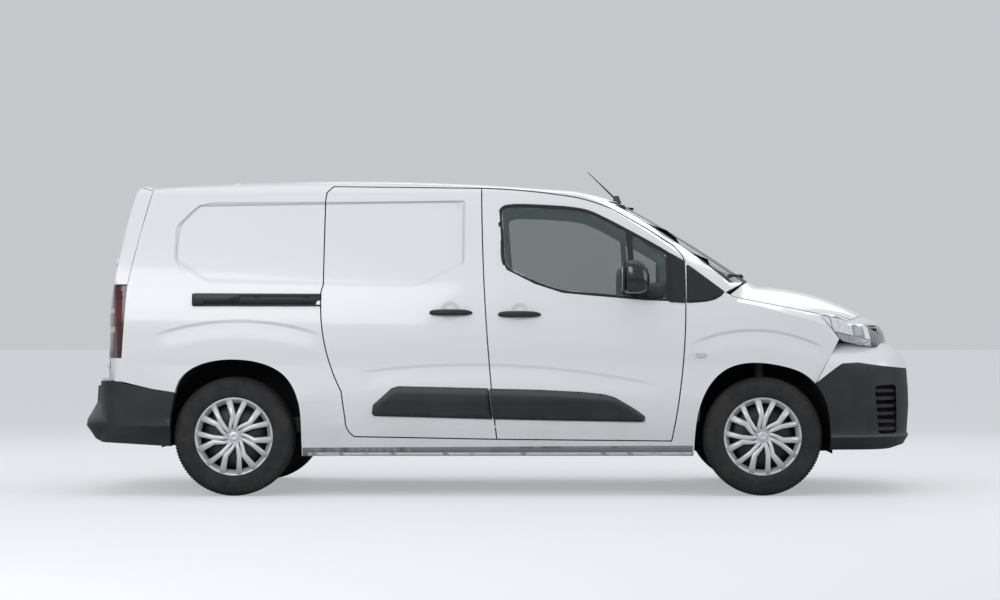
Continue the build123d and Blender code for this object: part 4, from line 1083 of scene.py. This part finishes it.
door_top = drawn(b_post, [(13, 606), (290, 600), (540, 587), (662, 574), (720, 557), (785, 520),
                          (851, 479), (890, 448)])
slide_top = drawn(b_post, [(10, 608), (-495, 620), (-532, 609), (-637, 515), (-644, 470)])
door_strip = strip("door_strip", door_top, [(884, 422), (866, 418), (457, 425), (36, 434)], 0.89,
                   False)
slide_strip = strip("slide_strip", slide_top, [(33, 434), (-632, 452)], 0.66, True)
print("strip faces:", len(door_strip.polygons), len(slide_strip.polygons))

# %% [markdown]
# A pull handle is a tapered bar that stands off the door on its two ends. It is
# a loft: rounded sections from end to end, thin at the tips and thick in the
# hand, bowed away from the skin in the middle.

# %% Door handles
# each section, in millimetres: place along, half height, stand-off, half depth
handle_sections = ((-121, 4, 1, 3), (-117, 10, 3, 6), (-100, 15, 9, 10), (-70, 17.5, 18, 11),
                   (-20, 18, 24, 11), (35, 18, 24, 11), (75, 16.5, 18, 11), (100, 12.5, 9, 10),
                   (116, 7.5, 3, 6), (120, 3, 1, 3))
tallest, droop, lock_along, lock_off = 18, 0.004, 0.099, 0.0185


def handle(x, z):
    skin_y = land(side_skin, "right", x, z).y
    stations = [((x + along / 1000, skin_y - off / 1000, z - droop * (1 - half / tallest)),
                 (0, deep / 1000, 0), (0, 0, half / 1000))
                for along, half, off, deep in handle_sections]
    button = lathe("lock", [(0, 8.5), (4, 8), (5, 6.6), (3.5, 6), (3.5, 0.4), (0, 0.4)], 24)
    button.transform(Matrix.Translation((x + lock_along, skin_y - lock_off, z))
                     @ Matrix.Rotation(math.pi, 4, "Z"))
    return join_meshes("handle", [loft("handle", stations, 20, 3.0), tidy_mesh(button)])


door_handle, slide_handle = handle(b_post + 0.185, 1.023), handle(b_post - 0.200, 1.033)
both(join_meshes("door_trim", [door_strip, door_handle]), "door_trim", "front_door",
     "grained_plastic", ["door_trim_r", "door_trim_l"])
print("handle faces:", len(door_handle.polygons))

# %% Sliding door rail
far_corners = [0.012, 0.012]
bed_outline = rounded(drawn(c_post, [(-732, 1068), (-732, 1141), (-12, 1138), (-12, 1068)]),
                      far_corners + [0, 0])
cap_outline = rounded(drawn(c_post, [(-732, 1069), (-732, 1141), (-468, 1140), (-468, 1092),
                                     (-664, 1090), (-668, 1069)]),
                      far_corners + [0.004, 0.004, 0.004, 0.002])
rail = [plate("rail_bed", bed_outline, side_skin, 1.2, 4, 40),
        plate("rail_cap", cap_outline, side_skin, 10.5, 9, 40, 2)]
# the lips, in millimetres: near end, foot, height, and how far each stands out
for near, low, high, rise in ((-668, 1068, 9, 8), (-470, 1126, 12, 9), (-470, 1100, 6, 6),
                              (-470, 1068, 9, 9)):
    lip = drawn(c_post, [(near, low), (near, low + high), (-12, low + high), (-12, low)])
    rail.append(plate("rail_lip", lip, side_skin, rise, rise, 40, 1))
both(join_meshes("slide_trim", [slide_strip, slide_handle, *rail]), "slide_trim", "van",
     "grained_plastic", ["slide_trim"])
print("rail pieces:", len(rail))

# %% [markdown]
# Below the doors the sill turns under: a recess whose white paint is coloured
# mid-grey, painted shade, and then the bare welded flange, with two jacking
# plates on it, each with a round hole.

# %% Sill recess, flange and jacking plates
sill_low, sill_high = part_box("sills")
start, end, sill_foot = sill_low[0] + 0.004, sill_high[0] - 0.004, 0.2255
# the recess plate: painted shade in mid-grey
under = plate("sill_recess", [(start, sill_foot), (start, 0.272), (end, 0.284), (end, sill_foot)],
              side_skin, 1.2, 3, 40)
both(under, "sill_recess", "van", "turned_under")
flange = plate("sill_flange", [(start + 0.03, sill_foot), (start + 0.03, 0.244), (end - 0.003, 0.246),
                               (end - 0.003, sill_foot)], side_skin, 4, 3, 30, 0.8)
jacks = []
for at in (end - 0.262, start + 0.125):
    hole = [(at + 0.0425 + 0.005 * math.cos(t), 0.237 + 0.005 * math.sin(t))
            for t in (math.radians(30 * n) for n in range(12))]
    corners = [(at, 0.2258), (at, 0.247), (at + 0.085, 0.247), (at + 0.085, 0.2258)]
    jacks.append(plate("jack", rounded(corners, 0.004), side_skin, 6.5, 5, 20, 1, holes=[hole]))
both(join_meshes("flange", [flange, *jacks]), "sill_flange", "van", "bare_flange")
print("jacking plates:", len(jacks), "on each side")

# %% [markdown]
# A door mirror is a deep glossy shell on a short foot. Its shell is lofted from
# rounded sections stacked upwards, and the foot from sections that swing out
# from the door. The glass sits in a thin bezel at the back.

# %% Door mirrors
mirror_low, mirror_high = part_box("mirror_r")
mx, my, mz = mirror_low[0] + 0.062, mirror_low[1] + 0.093, (mirror_low[2] + mirror_high[2]) / 2
# each level of the shell, in millimetres: rise, shift along the van, half width along and across
levels = ((-84.5, -12, 36, 50), (-77.5, -7, 58, 75), (-58.5, -1, 72, 88), (-23.5, 0, 76, 92.5),
          (16.5, -1, 76, 93), (51.5, -6, 70, 91.5), (76.5, -14, 60, 86), (92.5, -22, 47, 74),
          (102, -29, 28, 50))
# each section of the foot: its place from the shell's middle, and its two half widths
foot_sections = (((40, 10, -55), (50, 10, 0), (0, 6, 26)), ((88, 36, -60), (46, 12, 0), (0, 6, 34)),
                 ((128, 70, -68), (40, 12, 0), (0, 4, 46)), ((150, 94, -72), (34, 6, 0), (0, 2, 55)))
middle, mm = Vector((mx, my, mz)), 0.001
shell = loft("mirror_shell", [(middle + Vector((shift, 0, rise)) * mm, (along * mm, 0, 0),
                               (0, across * mm, 0)) for rise, shift, along, across in levels],
             40, 2.9)
groove = loft("mirror_groove", [(middle + Vector((12, 0, rise)) * mm, (2.2 * mm, 0, 0),
                                 (0, (across + 1) * mm, 0))
                                for rise, _, _, across in levels[1:-1]], 40, 3.2)
foot = loft("mirror_foot", [(middle + Vector(at) * mm, Vector(a) * mm, Vector(b) * mm)
                            for at, a, b in foot_sections], 28, 3.0)


def upright(name, wide, tall, x, depth, radius):
    """A rounded plate that faces the tail, standing across the van."""
    level = mz - 0.002
    loop = rounded(box_of(my - wide, level - tall, my + wide, level + tall), radius, 6)
    count = len(loop)
    points = [(x, a, b) for a, b in loop] + [(x + depth, a, b) for a, b in loop]
    faces = [tuple(range(count)), tuple(range(count, 2 * count))]
    faces += [(n, (n + 1) % count, count + (n + 1) % count, count + n) for n in range(count)]
    return tidy_mesh(mesh_of(name, points, faces), 30.0)


bezel = upright("mirror_bezel", 0.078, 0.072, mx - 0.0765, 0.012, 0.036)
glass = upright("mirror_glass", 0.073, 0.067, mx - 0.0780, 0.0020, 0.032)
mirror_parts = [coated(part, tone) for part, tone in (
    (shell, "black_gloss"), (foot, "grained_plastic"), (groove, "seal_rubber"),
    (bezel, "grained_plastic"), (glass, "reflector"))]
both(join_meshes("mirror", mirror_parts), "mirror_unit", "front_door", None,
     ["mirror_r", "mirror_l"])
print("mirror faces:", sum(len(part.polygons) for part in mirror_parts))

# %% [markdown]
# A windscreen has a black printed border that hides its glue. Two wipers lie
# along its foot: each blade is a thin loft that follows the glass, and its arm
# reaches down to a spindle under the bonnet's edge.

# %% Windscreen border and wipers
screen = skin_of("windscreen")
rim_outline = rounded([(-0.711, 1.214), (0.711, 1.214), (0.574, 1.654), (-0.574, 1.654)], 0.03)
clear_outline = rounded([(-0.672, 1.262), (0.672, 1.262), (0.548, 1.634), (-0.548, 1.634)], 0.04)
border = plate("screen_border", rim_outline, screen, 1.2, 3, 45, view="front", holes=[clear_outline])
fit(border, "screen_border", "van", "frit", ())


def wiper(start, end, foot):
    """A blade between two spots on the glass, with an arm to its foot; spots are (y, z)."""
    def spot(y, z, off):
        return land(screen, "front", y, z) + Vector((off * 0.5, 0, off))

    def along(t):
        return [start[k] + (end[k] - start[k]) * t for k in (0, 1)]
    widths = ((0, 0.5), (0.06, 1), (0.5, 1.3), (0.94, 1), (1, 0.5))
    blade = loft("wiper_blade", [(spot(*along(t), 0.007), (0.003, 0, 0.004), (-0.004 * w, 0, 0.005 * w))
                                 for t, w in widths], 10, 2.6)
    middle = spot((start[0] + end[0]) / 2, (start[1] + end[1]) / 2, 0.012)
    base = spot(*foot, 0.008)
    elbow = (middle + base) / 2 + Vector((0.003, 0, 0.004))
    arm = loft("wiper_arm", [(middle, (0.004, 0.004, 0.004), (-0.003, 0, 0.003)),
                             (elbow, (0.005, 0.005, 0.005), (-0.004, 0, 0.004)),
                             (base, (0.008, 0.008, 0.008), (-0.005, 0, 0.005))], 10, 2.6)
    return join_meshes("wiper", [blade, arm])


wipers = join_meshes("wiper_pair", [wiper((-0.640, 1.240), (-0.060, 1.246), (0.050, 1.236)),
                                    wiper((-0.020, 1.250), (0.560, 1.240), (0.640, 1.228))])
fit(wipers, "wiper_pair", "van", "seal_rubber", ["wipers"])
print("wiper faces:", len(wipers.polygons))

# %% [markdown]
# The tail doors carry what a loader meets: a black panel with a bare number
# plate and a pull, a stop lamp high up, and two hinges on each outer edge. They
# are plates again, drawn from behind and laid on the doors.

# %% Tail door fittings
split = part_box("tail_door_r")[1][1]
left_tail = skin_of("tail_door_l")
# each: distances from the split, two heights, corner radius, plate sizes, finish and slot
for name, near, far, low, high, radius, sizes, finish, slot in (
        ("tail_panel", 0.030, 0.640, 0.800, 0.965, 0.018, (6, 6, 50, 2), "grained_plastic",
         "grained_plastic"),
        ("bare_plate", 0.075, 0.595, 0.822, 0.933, 0.006, (8.5, 3, 60), "plate_white", "body_paint"),
        ("tail_pull", 0.030, 0.210, 1.000, 1.040, 0.014, (16, 16, 30, 4), "grained_plastic",
         "grained_plastic"),
        ("stop_lamp", 0.040, 0.250, 1.665, 1.690, 0.008, (9, 9, 30, 3), "lamp_red", "lamp_red")):
    outline = rounded(box_of(split + near, low, split + far, high), radius)
    fit(plate(name, outline, left_tail, *sizes, view="back"), name, "tail_door_left", finish, ())
for side, hand in (("right", -1), ("left", 1)):
    straps, door = [], skin_of("tail_door_" + side[0])
    for height in (0.720, 1.300):
        outline = rounded(box_of(hand * 0.635, height, hand * 0.775, height + 0.040), 0.012)
        straps.append(plate("hinge_strap", outline, door, 10, 14, 25, 3, view="back"))
        ease(straps[-1].vertices)
    fit(join_meshes("hinge_straps", straps), "hinge_straps_" + side, "tail_door_" + side,
        "body_paint", ())
print("tail split at", round(split, 3))

# %% [markdown]
# The stage is a wide pale floor that runs to the horizon under a pale sky. The
# sky is shown to the camera, and in gloss and glass, a little brighter than it
# lights, so that the lamps alone set how bright a colour renders.

# %% Stage and light
floor_finish = bpy.data.materials.new("pale_floor")
floor_finish.use_nodes = True
floor_tree = floor_finish.node_tree
floor_shader = floor_tree.nodes["Principled BSDF"]
for key, value in (("Base Color", (0.50, 0.51, 0.52, 1)), ("Roughness", 0.9),
                   ("Emission Strength", 1.0)):
    floor_shader.inputs[key].default_value = value
floor_ray = floor_tree.nodes.new("ShaderNodeLightPath")
own_glow = Value(floor_tree, floor_ray.outputs["Is Camera Ray"]).tint((0, 0, 0), (0.36, 0.37, 0.38))
floor_tree.links.new(own_glow.socket, floor_shader.inputs["Emission Color"])
far, floor_level = 90.0, -0.0005
ground = mesh_of("stage_floor", [(x, y, floor_level) for x, y in box_of(-far, -far, far, far)],
                 [(0, 1, 2, 3)])
ground.materials.append(floor_finish)
show("stage_floor", ground)


def lamp(name, place, aim, size, power, color=(1, 1, 1)):
    light = bpy.data.lights.new(name, "AREA")
    light.shape, light.size, light.size_y = "RECTANGLE", size[0], size[1]
    light.energy, light.color = power, color
    holder = show(name, light)
    holder.location = place
    holder.rotation_euler = (Vector(aim) - Vector(place)).to_track_quat("-Z", "Y").to_euler()


lamp("sky_panel", (0.0, -1.5, 6.5), (0, 0, 0.5), (9, 6), 115, (0.98, 0.99, 1.0))
lamp("near_side", (-3.5, -8.0, 3.6), (0, 0, 0.9), (6, 3), 235)
lamp("nose_side", (7.5, -3.0, 2.6), (0.5, 0, 0.9), (4, 3), 95)
lamp("tail_side", (-7.5, 2.5, 3.0), (0, 0, 1), (4, 3), 75)
lamp("far_side", (1.0, 6.0, 4.5), (0, 0, 1), (6, 3), 80)
world = bpy.data.worlds.new("room")
world.use_nodes = True
room = world.node_tree
light_from, shown = room.nodes["Background"], room.nodes.new("ShaderNodeBackground")
light_from.inputs["Color"].default_value = (0.86, 0.90, 0.95, 1)
light_from.inputs["Strength"].default_value = 0.50
shown.inputs["Color"].default_value = (0.56, 0.58, 0.60, 1)
ray = room.nodes.new("ShaderNodeLightPath")
to_eye, in_gloss, in_glass = (Value(room, ray.outputs["Is %s Ray" % kind])
                              for kind in ("Camera", "Glossy", "Transmission"))
seen = to_eye.math("MAXIMUM", in_gloss).math("MAXIMUM", in_glass)
choice = room.nodes.new("ShaderNodeMixShader")
for source, socket in ((seen.socket, choice.inputs[0]), (light_from.outputs[0], choice.inputs[1]),
                       (shown.outputs[0], choice.inputs[2]),
                       (choice.outputs[0], room.nodes["World Output"].inputs["Surface"])):
    room.links.new(source, socket)
bpy.context.scene.world = world
bpy.context.scene.view_settings.view_transform = "Standard"
print("lamps:", len(bpy.data.lights))

# %% [markdown]
# The camera stands fifteen metres off on the right side, at waist height, with
# a long lens, so that the van is seen square on and almost flat.

# %% Camera
eye = bpy.data.cameras.new("side_view")
eye.sensor_width, eye.lens, eye.clip_end = 36.0, 89.8, 300.0
eye.shift_x, eye.shift_y = -0.070, 0.0272
camera = show("side_view", eye)
camera.location = (0.400, -14.900, 0.950)
camera.rotation_euler = (math.radians(90), 0, 0)
bpy.context.scene.camera = camera
print("lens:", round(eye.lens, 1))
